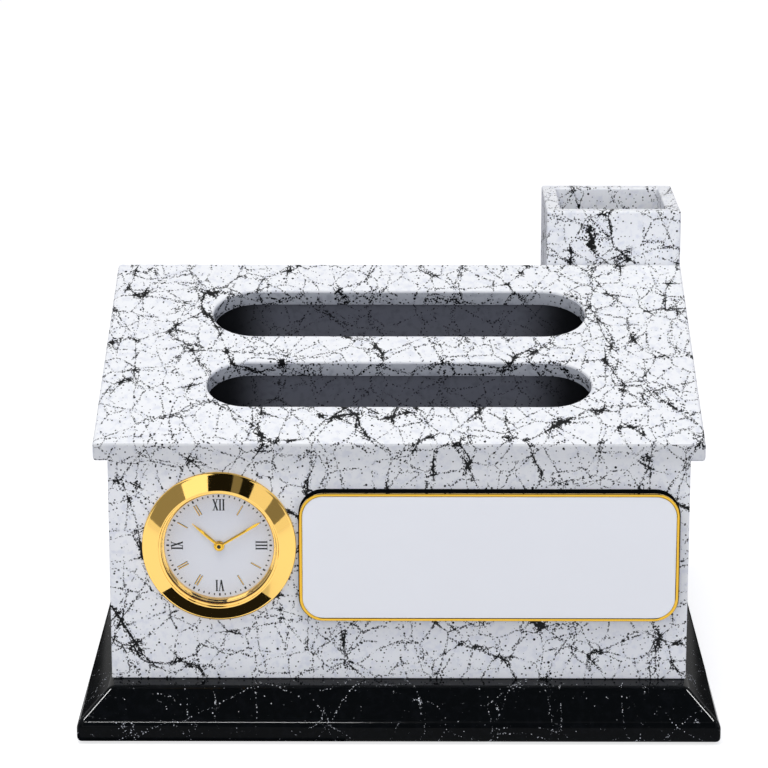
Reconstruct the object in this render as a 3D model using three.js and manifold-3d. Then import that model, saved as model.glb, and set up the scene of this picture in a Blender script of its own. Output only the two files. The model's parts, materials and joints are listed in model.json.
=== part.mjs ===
// Desk organizer with clock: a lean-to box with two card slots in its sloping roof, a push-in
// quartz clock and a name plate on its front, a phone trough and a pen box behind it, and a
// bevelled base under all of them.
// Millimetres, X to the right, Y to the back, Z up, origin on the ground under the base's middle.
import * as THREE from 'three';
import { mergeVertices } from 'three/addons/utils/BufferGeometryUtils.js';
import Module from 'manifold-3d';

const wasm = await Module();
wasm.setup();

// Base and feet
const bodyWidth = 148;
const baseThickness = 12.3;
const baseEdgeHeight = 4.8;
const baseBevelRun = 8.1;
const baseLip = 13.9;
const footThickness = 0.6;
const footDiameter = 14;
const footInset = 17;

// Walls and roof
const frontWallThickness = 5;
const sideWallThickness = 5;
const rearWallThickness = 4.6;
const frontWallHeight = 58.2;
const roofThickness = 4.6;
const roofLength = 91.2;
const roofSlopeDegrees = 17.36;
const roofOverhang = 3.75;
const glueLine = 0.05;

// Card slots, measured up the slope from the roof's front edge, and the pockets under them
const frontSlotStart = 17.9;
const frontSlotWidth = 21.9;
const rearSlotStart = 53;
const rearSlotWidth = 23.7;
const slotLength = 100.2;
const pocketWallThickness = 2.5;
const pocketWallSetback = 1.3;
const pocketFloorThickness = 3;
const cardHeight = 54;
const cardStandOut = 15;

// Phone trough
const phoneTroughDepth = 18;
const phoneLedgeRise = 14.5;
const phoneLedgeThickness = 4.6;
const phoneRestThickness = 4.6;
const phoneRestHeight = 70;
const phoneStopThickness = 4.6;
const phoneStopRise = 18;

// Pen box
const penBoxWidth = 37;
const penBoxDepth = 37;
const penBoxHeight = 104.9;
const penBoxWall = 4;
const penBoxFloor = 4;
const penBoxGap = 1;

// Name plate, which fills the front wall between the bezel and the right edge
const plateBezelGap = 0.6;
const plateSideMargin = 2.5;
const plateHeight = 34.4;
const plateCorner = 6.4;
const plateBackingThickness = 3;
const plateFaceThickness = 0.7;
const plateFrameWidth = 0.75;
const plateFrameMargin = 0.25;
const plateDrop = 24.3;

// Clock case, bezel and dial. Depths along the clock's axis run outwards from the front wall's face.
const clockInset = 28.1;
const clockDrop = 22.35;
const boreDiameter = 35.4;
const caseDiameter = 34.4;
const caseDepth = 10.4;
const caseWall = 1.3;
const caseNeck = 0.85;
const caseLipWall = 0.9;
const dialLedgeWidth = 2.3;
const dialLedgeHeight = 1.4;
const bezelDiameter = 39.4;
const bezelRim = 0.75;
const bezelCrestDiameter = 31.3;
const bezelCrest = 3.4;
const bezelCrestWidth = 0.35;
const bezelStep = 0.5;
const bezelLip = 0.55;
const bezelLipThickness = 0.55;
const lensDiameter = 31.2;
const lensThickness = 1;
const dialThickness = 0.4;
const dialDepth = 0.5;
const chapterRingBore = 28;
const chapterRingStep = 0.55;
const gripRingWidth = 3;
const gripRingSetback = 1.4;
const backCoverThickness = 0.8;
const fitGap = 0.05;
const turnGap = 0.1;

// Clock movement, depths below the dial's back and places in the clock's own plane
const motionWorkDepth = 1.45;
const movementPlateThickness = 0.8;
const trainDepth = 3.25;
const bridgeThickness = 0.5;
const pillarRadius = 0.7;
const postRadius = 0.8;
const arborRadius = 0.2;
const centreArborRadius = 0.5;
const handArborRadius = 0.35;
const hourPipeRadius = 0.85;
const gearThickness = 0.4;
const motionWorkGap = 0.15;
const hourGearGap = 0.2;
const centreGearGap = 0.5;
const intermediateGearGap = 0.9;
const statorGap = 0.4;
const hourHandRise = 0.5;
const motionModule = 0.2;
const trainModule = 0.15;
const rotorModule = 0.12;
const cannonTeeth = 12;
const minuteWheelTeeth = 36;
const minutePinionTeeth = 10;
const hourWheelTeeth = 40;
const settingTeeth = 12;
const centreWheelTeeth = 60;
const trainPinionTeeth = 6;
const intermediateTeeth = 54;
const rotorPinionTeeth = 6;
const toothAddendum = 0.7;
const toothDedendum = 1.1;
const toothRootShare = 0.42;
const toothTipShare = 0.16;
const magnetRadius = 1.2;
const magnetThickness = 0.6;
const statorThickness = 0.35;
const statorLegWidth = 1.5;
const coilRadius = 1.3;
const coilLength = 6;
const coilCoreWidth = 1.4;
const coilCoreThickness = 0.4;
const coilX = 10.6;
const coilTop = 8.2;
const coilBottom = -5.4;
const boardThickness = 0.4;
const batteryRadius = 3.4;
const batteryThickness = 2.6;
const batteryX = -8.6;
const batteryY = -5.2;
const contactThickness = 0.2;
const crystalRadius = 1;
const crystalLength = 6;
const knobRadius = 2.6;
const knobThickness = 1.1;
const knobTeeth = 18;
const hatchRadius = 4.5;
const hatchPlugRadius = 3.9;
const hatchThickness = 0.55;
const hatchLugReach = 0.7;
const hatchLugThickness = 0.2;
const screwHeadRadius = 0.9;
const screwHeadThickness = 0.35;
const screwShankRadius = 0.35;
const chipSize = 3;
const chipThickness = 0.8;

// Places in the clock's own plane, seen from the front
const pillars = [[-4, 4.6], [0.6, -6], [4.6, 7]];
const boardPosts = [[-11.4, -3.4], [5.8, -10.6]];
const crystalAt = [3, -9.6];
const chipAt = [-2.9, -9.7];
const bridgeCorners = [[-5.4, 1], [-1.4, -7.2], [2.4, -7.2], [8.2, -2.6], [8.2, 4.4], [5.8, 8.4], [2.4, 11],
  [-2.4, 11], [-5.4, 6]];
const boardCorners = [[-12.6, -2.2], [-5.6, -2.2], [-5.6, -7.2], [7.4, -7.2], [7.4, -12], [-5.2, -12.2],
  [-9.6, -10], [-12.6, -6.4]];

// Hands, which stand at ten past ten
const minuteHandLength = 12.1;
const hourHandLength = 9.1;
const handThickness = 0.25;
const handGap = 0.3;
const minuteHandWidth = 0.85;
const hourHandWidth = 0.9;
const handNeckWidth = 0.68;
const handWidestShare = 0.62;
const minuteHubRadius = 1;
const hourHubRadius = 1.35;
const minuteAngle = THREE.MathUtils.degToRad(31.4);
const hourAngle = THREE.MathUtils.degToRad(139);

// Facets round a large and a small circle
const wideFacets = 48;
const middleFacets = 24;
const smallFacets = 12;
const curlFacets = 16;

// Levels and planes that follow from the sizes
const slope = THREE.MathUtils.degToRad(roofSlopeDegrees);
const roofRun = roofLength * Math.cos(slope);
const roofUprightThickness = roofThickness / Math.cos(slope);
const roofHalfWidth = bodyWidth / 2 + roofOverhang;
const bodyHalfWidth = bodyWidth / 2;
const baseHalfWidth = bodyHalfWidth + baseBevelRun;
const baseHalfDepth = (baseLip + roofRun + penBoxGap + penBoxDepth + baseLip) / 2;
const baseTop = footThickness + baseThickness;
const wallFoot = baseTop + glueLine;
const frontY = -baseHalfDepth + baseLip;
const roofRearY = frontY + roofRun;
const rearWallBackY = roofRearY - roofOverhang;
const rearWallFrontY = rearWallBackY - rearWallThickness;
const innerHalfWidth = bodyHalfWidth - sideWallThickness;
const roofFootZ = baseTop + frontWallHeight;
const clockX = -bodyHalfWidth + clockInset;
const clockZ = roofFootZ - clockDrop;
const plateLeftX = clockX + bezelDiameter / 2 + plateBezelGap;
const plateRightX = bodyHalfWidth - plateSideMargin;
const plateWidth = plateRightX - plateLeftX;

const marble = { color: 0xe3e6ee, roughness: 0.42, metalness: 0 };
const blackMarble = { color: 0x0b0c0f, roughness: 0.12, metalness: 0 };
const gold = { color: 0xd9a441, roughness: 0.16, metalness: 1 };
const brass = { color: 0xc9a24e, roughness: 0.3, metalness: 1 };
const steel = { color: 0xb9bcc2, roughness: 0.3, metalness: 1 };
const blackPlastic = { color: 0x1a1b1e, roughness: 0.5, metalness: 0 };
const whiteGloss = { color: 0xe8e9f2, roughness: 0.12, metalness: 0 };
const silverWhite = { color: 0xe4e6ee, roughness: 0.45, metalness: 0 };
const clear = { color: 0xf4f8ff, roughness: 0.03, metalness: 0, transparent: true, opacity: 0.25 };
const rubber = { color: 0x24262a, roughness: 0.8, metalness: 0 };
const copper = { color: 0xb4673a, roughness: 0.4, metalness: 1 };
const circuitGreen = { color: 0x1f5b3a, roughness: 0.5, metalness: 0 };

const organizer = new THREE.Group();

// Welds a geometry's shared corners, drops its empty triangles and turns its faces outwards.
function toSolid(geometry) {
  const bare = geometry.clone();
  bare.deleteAttribute('normal');
  bare.deleteAttribute('uv');
  const welded = mergeVertices(bare, 1e-5);
  const points = welded.attributes.position.array;
  const corners = [];
  let volume = 0;
  for (let i = 0; i < welded.index.count; i += 3) {
    const [a, b, c] = welded.index.array.slice(i, i + 3);
    if (a === b || b === c || c === a) continue;
    corners.push(a, b, c);
    const [p, q, r] = [a, b, c].map((k) => new THREE.Vector3().fromArray(points, 3 * k));
    volume += p.dot(q.cross(r));
  }
  const triVerts = Uint32Array.from(volume < 0 ? corners.reverse() : corners);
  return new wasm.Manifold(new wasm.Mesh({ numProp: 3, vertProperties: points, triVerts }));
}

function toGeometry(solid) {
  const { vertProperties, triVerts } = solid.getMesh();
  const geometry = new THREE.BufferGeometry();
  geometry.setAttribute('position', new THREE.BufferAttribute(vertProperties, 3));
  geometry.setIndex(new THREE.BufferAttribute(triVerts, 1));
  geometry.computeVertexNormals();
  return geometry;
}

function addPiece(name, geometry, finish, place = [0, 0, 0]) {
  const closed = toGeometry(toSolid(geometry));
  const piece = new THREE.Mesh(closed, new THREE.MeshStandardMaterial(finish));
  piece.name = name;
  piece.position.set(...place);
  organizer.add(piece);
}

const cut = (from, ...tools) => toGeometry(tools.reduce((s, t) => s.subtract(toSolid(t)), toSolid(from)));
const join = (first, ...others) => toGeometry(others.reduce((s, t) => s.add(toSolid(t)), toSolid(first)));
const common = (one, other) => toGeometry(toSolid(one).intersect(toSolid(other)));

// A quarter turn about X: what points along Y then points along Z, and what points along Z
// points to the front.
const quarterTurn = new THREE.Matrix4().set(1, 0, 0, 0, 0, 0, -1, 0, 0, 1, 0, 0, 0, 0, 0, 1);
// A cyclic turn that lays an outline drawn in Y and Z across the part's width.
const acrossTurn = new THREE.Matrix4().set(0, 0, 1, 0, 1, 0, 0, 0, 0, 1, 0, 0, 0, 0, 0, 1);

const faceFront = (geometry) => geometry.clone().applyMatrix4(quarterTurn);

function block([x0, x1], [y0, y1], [z0, z1]) {
  const box = new THREE.BoxGeometry(x1 - x0, y1 - y0, z1 - z0);
  return box.translate((x0 + x1) / 2, (y0 + y1) / 2, (z0 + z1) / 2);
}

const outline = (points) => new THREE.Shape(points.map(([x, y]) => new THREE.Vector2(x, y)));

// An outline in X and Y raised between two levels.
function raised(shape, [z0, z1]) {
  const options = { depth: z1 - z0, bevelEnabled: false, curveSegments: 8 };
  return new THREE.ExtrudeGeometry(shape, options).translate(0, 0, z0);
}

// An outline in Y and Z carried across the part from x0 to x1.
function across(points, [x0, x1]) {
  return raised(outline(points), [x0, x1]).applyMatrix4(acrossTurn);
}

function rod(x, y, radius, [z0, z1], facets = smallFacets) {
  const cylinder = new THREE.CylinderGeometry(radius, radius, z1 - z0, facets);
  return faceFront(cylinder).translate(x, y, (z0 + z1) / 2);
}

// A profile of radius and height, closed on itself, turned about the Z axis.
function turned(profile, facets = wideFacets) {
  const points = [...profile, profile[0]].map(([r, z]) => new THREE.Vector2(r, z));
  return faceFront(new THREE.LatheGeometry(points, facets));
}

function roundedRectangle(width, height, radius) {
  const [w, h] = [width / 2 - radius, height / 2 - radius];
  const shape = new THREE.Shape();
  shape.absarc(w, h, radius, 0, Math.PI / 2);
  shape.absarc(-w, h, radius, Math.PI / 2, Math.PI);
  shape.absarc(-w, -h, radius, Math.PI, 1.5 * Math.PI);
  shape.absarc(w, -h, radius, 1.5 * Math.PI, 2 * Math.PI);
  return shape;
}

// Base with a mitred bevel all round: the front view's outline and the side view's, crossed.
function bevelledOutline(halfSpan) {
  const edgeTop = footThickness + baseEdgeHeight;
  return [
    [-halfSpan, footThickness],
    [halfSpan, footThickness],
    [halfSpan, edgeTop],
    [halfSpan - baseBevelRun, baseTop],
    [-halfSpan + baseBevelRun, baseTop],
    [-halfSpan, edgeTop],
  ];
}

function addBase() {
  const sideView = across(bevelledOutline(baseHalfDepth), [-baseHalfWidth, baseHalfWidth]);
  const frontSpan = [-baseHalfDepth, baseHalfDepth];
  const frontView = faceFront(raised(outline(bevelledOutline(baseHalfWidth)), frontSpan));
  addPiece('base_plate', common(sideView, frontView), blackMarble);
  const footX = baseHalfWidth - footInset;
  const footY = baseHalfDepth - footInset;
  const corners = { front_left: [-1, -1], front_right: [1, -1], rear_left: [-1, 1], rear_right: [1, 1] };
  for (const [corner, [sideX, sideY]] of Object.entries(corners)) {
    const pad = rod(0, 0, footDiameter / 2, [0, footThickness - glueLine], middleFacets);
    addPiece(`foot_${corner}`, pad, rubber, [sideX * footX, sideY * footY, 0]);
  }
}

const undersideZ = (y) => roofFootZ + (y - frontY) * Math.tan(slope);
const roofTopZ = (y) => undersideZ(y) + roofUprightThickness;

// An upright wall between two depths, its top cut to the roof's slope.
function wall([y0, y1], [x0, x1]) {
  const profile = [
    [y0, wallFoot],
    [y1, wallFoot],
    [y1, undersideZ(y1) - glueLine],
    [y0, undersideZ(y0) - glueLine],
  ];
  return across(profile, [x0, x1]);
}

function addWalls() {
  const frontWallBackY = frontY + frontWallThickness;
  const front = wall([frontY, frontWallBackY], [-bodyHalfWidth, bodyHalfWidth]);
  const boreSpan = [-2 * frontWallThickness, frontWallThickness];
  const boreRod = rod(0, 0, boreDiameter / 2, boreSpan, wideFacets);
  const bore = faceFront(boreRod).translate(clockX, frontY, clockZ);
  addPiece('front_wall', cut(front, bore), marble);
  const sideY = [frontWallBackY + glueLine, rearWallBackY];
  addPiece('left_wall', wall(sideY, [-bodyHalfWidth, -innerHalfWidth]), marble);
  addPiece('right_wall', wall(sideY, [innerHalfWidth, bodyHalfWidth]), marble);
  const between = [-innerHalfWidth + glueLine, innerHalfWidth - glueLine];
  addPiece('rear_wall', wall([rearWallFrontY, rearWallBackY], between), marble);
}

// A card slot with round ends, cut square to the roof's slope.
function slotCutter(start, width) {
  const shape = roundedRectangle(slotLength, width, width / 2);
  const cutter = raised(shape, [-2 * roofThickness, roofThickness]).rotateX(slope);
  const middle = start + width / 2;
  const y = frontY + middle * Math.cos(slope);
  return cutter.translate(0, y, roofTopZ(y));
}

function addRoof() {
  const profile = [
    [frontY, undersideZ(frontY)],
    [roofRearY, undersideZ(roofRearY)],
    [roofRearY, roofTopZ(roofRearY)],
    [frontY, roofTopZ(frontY)],
  ];
  const slab = across(profile, [-roofHalfWidth, roofHalfWidth]);
  const slots = [slotCutter(frontSlotStart, frontSlotWidth), slotCutter(rearSlotStart, rearSlotWidth)];
  addPiece('roof_plate', cut(slab, ...slots), marble);
}

// Each pocket's floor lies so deep that a standing card shows by the same height above its slot.
function pocketFloorTop(start, width) {
  const slotMiddleY = frontY + (start + width / 2) * Math.cos(slope);
  return roofTopZ(slotMiddleY) + cardStandOut - cardHeight;
}

function addPockets() {
  const between = [-innerHalfWidth + glueLine, innerHalfWidth - glueLine];
  const frontPocketY = frontY + frontSlotStart * Math.cos(slope) - pocketWallSetback;
  const frontSlotEnd = frontSlotStart + frontSlotWidth;
  const partitionY = frontY + ((frontSlotEnd + rearSlotStart) / 2) * Math.cos(slope);
  const partition = [partitionY - pocketWallThickness / 2, partitionY + pocketWallThickness / 2];
  addPiece('pocket_front_wall', wall([frontPocketY - pocketWallThickness, frontPocketY], between), marble);
  addPiece('pocket_partition', wall(partition, between), marble);
  const frontTop = pocketFloorTop(frontSlotStart, frontSlotWidth);
  const rearTop = pocketFloorTop(rearSlotStart, rearSlotWidth);
  const frontDepth = [frontPocketY + glueLine, partition[0] - glueLine];
  const rearDepth = [partition[1] + glueLine, rearWallFrontY - glueLine];
  const frontSpan = [frontTop - pocketFloorThickness, frontTop];
  const rearSpan = [rearTop - pocketFloorThickness, rearTop];
  addPiece('front_pocket_floor', block(between, frontDepth, frontSpan), marble);
  addPiece('rear_pocket_floor', block(between, rearDepth, rearSpan), marble);
}

function addPhoneTrough() {
  const penBoxLeftX = roofHalfWidth - penBoxWidth;
  const stopX = [-bodyHalfWidth, -bodyHalfWidth + phoneStopThickness];
  const betweenEnds = [stopX[1] + glueLine, penBoxLeftX - glueLine];
  const troughY = [rearWallBackY + glueLine, rearWallBackY + phoneTroughDepth];
  const restY = [troughY[1] + glueLine, troughY[1] + phoneRestThickness];
  const ledgeTop = baseTop + phoneLedgeRise;
  addPiece('phone_ledge', block(betweenEnds, troughY, [ledgeTop - phoneLedgeThickness, ledgeTop]), marble);
  addPiece('phone_back_rest', block(betweenEnds, restY, [wallFoot, baseTop + phoneRestHeight]), marble);
  const stopZ = [wallFoot, ledgeTop + phoneStopRise];
  addPiece('phone_end_stop', block(stopX, [troughY[0], restY[1]], stopZ), marble);
}

function addPenBox() {
  const x = [roofHalfWidth - penBoxWidth, roofHalfWidth];
  const y = [roofRearY + penBoxGap, roofRearY + penBoxGap + penBoxDepth];
  const z = [wallFoot, baseTop + penBoxHeight];
  const innerX = [x[0] + penBoxWall, x[1] - penBoxWall];
  const innerY = [y[0] + penBoxWall + glueLine, y[1] - penBoxWall - glueLine];
  addPiece('pen_box_front', block(x, [y[0], y[0] + penBoxWall], z), marble);
  addPiece('pen_box_back', block(x, [y[1] - penBoxWall, y[1]], z), marble);
  addPiece('pen_box_left', block([x[0], innerX[0]], innerY, z), marble);
  addPiece('pen_box_right', block([innerX[1], x[1]], innerY, z), marble);
  const floorX = [innerX[0] + glueLine, innerX[1] - glueLine];
  addPiece('pen_box_floor', block(floorX, innerY, [wallFoot, wallFoot + penBoxFloor]), marble);
}

// Name plate: a black backing, and on it a thin gold frame round a white face.
function addNamePlate() {
  const place = [(plateLeftX + plateRightX) / 2, frontY, roofFootZ - plateDrop];
  const backing = roundedRectangle(plateWidth, plateHeight, plateCorner);
  const [frameWidth, frameHeight] = [plateWidth - 2 * plateFrameMargin, plateHeight - 2 * plateFrameMargin];
  const frameCorner = plateCorner - plateFrameMargin;
  const inset = 2 * plateFrameWidth;
  const holeCorner = frameCorner - plateFrameWidth;
  const faceCorner = holeCorner - fitGap;
  const frameShape = roundedRectangle(frameWidth, frameHeight, frameCorner);
  frameShape.holes.push(roundedRectangle(frameWidth - inset, frameHeight - inset, holeCorner));
  const faceInset = inset + 2 * fitGap;
  const faceShape = roundedRectangle(frameWidth - faceInset, frameHeight - faceInset, faceCorner);
  const onBacking = plateBackingThickness + glueLine;
  const faceSpan = [onBacking, onBacking + plateFaceThickness];
  const backingSolid = raised(backing, [glueLine, plateBackingThickness]);
  addPiece('name_plate_backing', faceFront(backingSolid), blackPlastic, place);
  addPiece('name_plate_frame', faceFront(raised(frameShape, faceSpan)), gold, place);
  addPiece('name_plate_face', faceFront(raised(faceShape, faceSpan)), whiteGloss, place);
}

const clockPlace = [clockX, frontY, clockZ];
const addClockPiece = (name, geometry, finish) => addPiece(name, faceFront(geometry), finish, clockPlace);

// Levels along the clock's axis
const dialFront = -dialDepth;
const dialBack = dialFront - dialThickness;
const ledgeFront = dialBack - fitGap;
const ledgeBack = ledgeFront - dialLedgeHeight;
const movementFront = ledgeBack - fitGap;
const movementBack = movementFront - movementPlateThickness;
const bridgeFront = movementBack - trainDepth;
const bridgeBack = bridgeFront - bridgeThickness;
const coverBack = -caseDepth;
const coverFront = coverBack + backCoverThickness;
const lensFront = bezelCrest - bezelStep - bezelLipThickness - fitGap;
const lensBack = lensFront - lensThickness;
const caseRadius = caseDiameter / 2;
const caseBoreRadius = caseRadius - caseWall;
const caseLipRadius = caseRadius - caseLipWall;

function addClockCase() {
  const ledgeRadius = caseLipRadius - dialLedgeWidth;
  const shell = turned([
    [caseLipRadius, caseNeck],
    [caseRadius, caseNeck],
    [caseRadius, coverBack],
    [caseLipRadius, coverBack],
    [caseLipRadius, coverFront + fitGap],
    [caseBoreRadius, coverFront + fitGap],
    [caseBoreRadius, ledgeBack],
    [ledgeRadius, ledgeBack],
    [ledgeRadius, ledgeFront],
    [caseLipRadius, ledgeFront],
  ]);
  addClockPiece('clock_case', shell, brass);
  const crestRadius = bezelCrestDiameter / 2;
  const crestInner = crestRadius - bezelCrestWidth;
  const lipRadius = crestInner - bezelLip;
  const stepZ = bezelCrest - bezelStep;
  const lipBack = stepZ - bezelLipThickness;
  const lensSeatRadius = lensDiameter / 2 + fitGap;
  const neckSeatRadius = caseRadius + fitGap;
  const neckSeatZ = caseNeck + fitGap;
  const bezel = turned([
    [neckSeatRadius, fitGap],
    [bezelDiameter / 2, fitGap],
    [bezelDiameter / 2, bezelRim],
    [crestRadius, bezelCrest],
    [crestInner, bezelCrest],
    [crestInner, stepZ],
    [lipRadius, stepZ],
    [lipRadius, lipBack],
    [lensSeatRadius, lipBack],
    [lensSeatRadius, neckSeatZ],
    [neckSeatRadius, neckSeatZ],
  ]);
  addClockPiece('clock_bezel', bezel, gold);
  addClockPiece('clock_lens', rod(0, 0, lensDiameter / 2, [lensBack, lensFront], wideFacets), clear);
  const ringTop = lensBack - fitGap;
  const ringStepRadius = chapterRingBore / 2 + chapterRingStep;
  const ring = turned([
    [chapterRingBore / 2, dialFront + fitGap],
    [lensDiameter / 2, dialFront + fitGap],
    [lensDiameter / 2, ringTop],
    [ringStepRadius, ringTop],
    [ringStepRadius, ringTop - chapterRingStep],
    [chapterRingBore / 2, ringTop - 2 * chapterRingStep],
  ]);
  addClockPiece('chapter_ring', ring, gold);
  const dial = rod(0, 0, lensDiameter / 2, [dialBack, dialFront], wideFacets);
  const pipeHole = rod(0, 0, hourPipeRadius + turnGap, [2 * dialBack, 0], smallFacets);
  addClockPiece('clock_dial', cut(dial, pipeHole), silverWhite);
  const gripRadius = boreDiameter / 2 - fitGap;
  const gripInner = caseRadius + fitGap;
  const gripFront = -gripRingSetback;
  const grip = turned([
    [gripInner, gripFront],
    [gripRadius, gripFront],
    [gripRadius, gripFront - gripRingWidth],
    [gripInner, gripFront - gripRingWidth],
  ]);
  addClockPiece('grip_ring', grip, rubber);
}

// A toothed wheel: straight flanks and flat tips, cut slim so that a pair runs with play.
function gear(teeth, module, phase, [z0, z1], x = 0, y = 0) {
  const pitchRadius = (teeth * module) / 2;
  const tip = pitchRadius + toothAddendum * module;
  const root = pitchRadius - toothDedendum * module;
  const step = (2 * Math.PI) / teeth;
  const corners = [
    [root, -toothRootShare],
    [tip, -toothTipShare],
    [tip, toothTipShare],
    [root, toothRootShare],
  ];
  const points = [];
  for (let tooth = 0; tooth < teeth; tooth += 1) {
    for (const [radius, share] of corners) {
      const angle = phase + (tooth + share / 2) * step;
      points.push([radius * Math.cos(angle), radius * Math.sin(angle)]);
    }
  }
  return raised(outline(points), [z0, z1]).translate(x, y, 0);
}

// The phase that sets a gap of the second wheel against a tooth of the first.
function meshedPhase(phase, teeth, otherTeeth, direction) {
  return direction + Math.PI - ((phase - direction) * teeth) / otherTeeth + Math.PI / otherTeeth;
}

const pitchDistance = (teeth, otherTeeth, module) => ((teeth + otherTeeth) * module) / 2;
const along = ([x, y], angle, distance) => [x + distance * Math.cos(angle), y + distance * Math.sin(angle)];

// Places of the arbors: the minute wheel and the setting stem above the centre, the
// intermediate wheel to its right and the rotor beyond that.
const up = Math.PI / 2;
const minuteWheelDistance = pitchDistance(cannonTeeth, minuteWheelTeeth, motionModule);
const hourModule = (2 * minuteWheelDistance) / (minutePinionTeeth + hourWheelTeeth);
const minuteWheelAt = along([0, 0], up, minuteWheelDistance);
const settingDistance = pitchDistance(minuteWheelTeeth, settingTeeth, motionModule);
const settingAt = along(minuteWheelAt, up, settingDistance);
const intermediateDirection = THREE.MathUtils.degToRad(-20);
const intermediateDistance = pitchDistance(centreWheelTeeth, trainPinionTeeth, trainModule);
const intermediateAt = along([0, 0], intermediateDirection, intermediateDistance);
const rotorDirection = THREE.MathUtils.degToRad(60);
const rotorDistance = pitchDistance(intermediateTeeth, rotorPinionTeeth, rotorModule);
const rotorAt = along(intermediateAt, rotorDirection, rotorDistance);

const statorPosts = [[coilX, coilTop], [coilX, coilBottom]];

// Levels of the wheels: the motion work in front of the movement plate, the train behind it
const spanFrom = (z, thickness) => [z, z + thickness];
const minuteGear = spanFrom(movementFront + motionWorkGap, gearThickness);
const hourGear = spanFrom(minuteGear[1] + hourGearGap, gearThickness);
const centreGear = spanFrom(movementBack - centreGearGap - gearThickness, gearThickness);
const intermediateGear = spanFrom(centreGear[0] - intermediateGearGap - gearThickness, gearThickness);
const statorSpan = spanFrom(intermediateGear[0] - statorGap - statorThickness, statorThickness);
const hourHandSpan = spanFrom(dialFront + hourHandRise, handThickness);
const minuteHandSpan = spanFrom(hourHandSpan[1] + handGap, handThickness);

function addMovement() {
  const plate = rod(0, 0, caseBoreRadius - fitGap, [movementBack, movementFront], wideFacets);
  const pillarSpan = [bridgeFront + fitGap, movementFront - fitGap];
  const postSpan = [statorSpan[1] + fitGap, movementFront - fitGap];
  const raisedPosts = [
    ...pillars.map(([x, y]) => rod(x, y, pillarRadius, pillarSpan)),
    ...[...boardPosts, ...statorPosts].map(([x, y]) => rod(x, y, postRadius, postSpan)),
  ];
  const through = [2 * coverBack, 0];
  const bearings = [
    rod(0, 0, centreArborRadius + turnGap, through),
    rod(...settingAt, centreArborRadius + turnGap, through),
    rod(...minuteWheelAt, arborRadius + turnGap, through),
    rod(...intermediateAt, arborRadius + turnGap, through),
    rod(...rotorAt, arborRadius + turnGap, through),
  ];
  const screwSpan = [2 * coverBack, movementBack];
  const screwHoles = pillars.map(([x, y]) => rod(x, y, screwShankRadius + fitGap, screwSpan));
  const plateWithPosts = join(plate, ...raisedPosts);
  addClockPiece('movement_plate', cut(plateWithPosts, ...bearings, ...screwHoles), blackPlastic);
  const bridge = raised(outline(bridgeCorners), [bridgeBack, bridgeFront]);
  const shankHoles = pillars.map(([x, y]) => rod(x, y, screwShankRadius + fitGap, through));
  addClockPiece('train_bridge', cut(bridge, ...bearings, ...shankHoles), steel);
  pillars.forEach(([x, y], index) => {
    const headTop = bridgeBack - fitGap;
    const head = rod(x, y, screwHeadRadius, [headTop - screwHeadThickness, headTop]);
    const shank = rod(x, y, screwShankRadius, [headTop - screwHeadThickness, movementBack - fitGap]);
    addClockPiece(`bridge_screw_${index + 1}`, join(head, shank), steel);
  });
}

// Stepping motor: the stator's two legs run from the rotor to the ends of the coil's core.
function addMotor() {
  const legs = statorPosts.map(([x, y]) => {
    const [dx, dy] = [x - rotorAt[0], y - rotorAt[1]];
    const leg = new THREE.BoxGeometry(Math.hypot(dx, dy), statorLegWidth, statorThickness);
    const middleZ = (statorSpan[0] + statorSpan[1]) / 2;
    return leg.rotateZ(Math.atan2(dy, dx)).translate(rotorAt[0] + dx / 2, rotorAt[1] + dy / 2, middleZ);
  });
  const eyeRadius = magnetRadius + 2.5 * turnGap;
  const hub = rod(...rotorAt, eyeRadius + statorLegWidth / 2, statorSpan, middleFacets);
  const ends = statorPosts.map(([x, y]) => rod(x, y, statorLegWidth / 2, statorSpan));
  const eye = rod(...rotorAt, eyeRadius, [2 * coverBack, 0], middleFacets);
  const stator = cut(join(hub, ...legs, ...ends), eye);
  addClockPiece('stator', stator, steel);
  const coreBack = statorSpan[0] - fitGap - coilCoreThickness;
  const coreX = [coilX - coilCoreWidth / 2, coilX + coilCoreWidth / 2];
  const coreY = [coilBottom - statorLegWidth / 2, coilTop + statorLegWidth / 2];
  addClockPiece('coil_core', block(coreX, coreY, [coreBack, statorSpan[0] - fitGap]), steel);
  const coilMiddle = (coilTop + coilBottom) / 2;
  const winding = new THREE.CylinderGeometry(coilRadius, coilRadius, coilLength, curlFacets);
  const coreMiddleZ = coreBack + coilCoreThickness / 2;
  winding.translate(coilX, coilMiddle, coreMiddleZ);
  const coreHoleX = [coreX[0] - fitGap, coreX[1] + fitGap];
  const coreHole = block(coreHoleX, coreY, [coreBack - fitGap, statorSpan[0]]);
  addClockPiece('coil', cut(winding, coreHole), copper);
}

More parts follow.
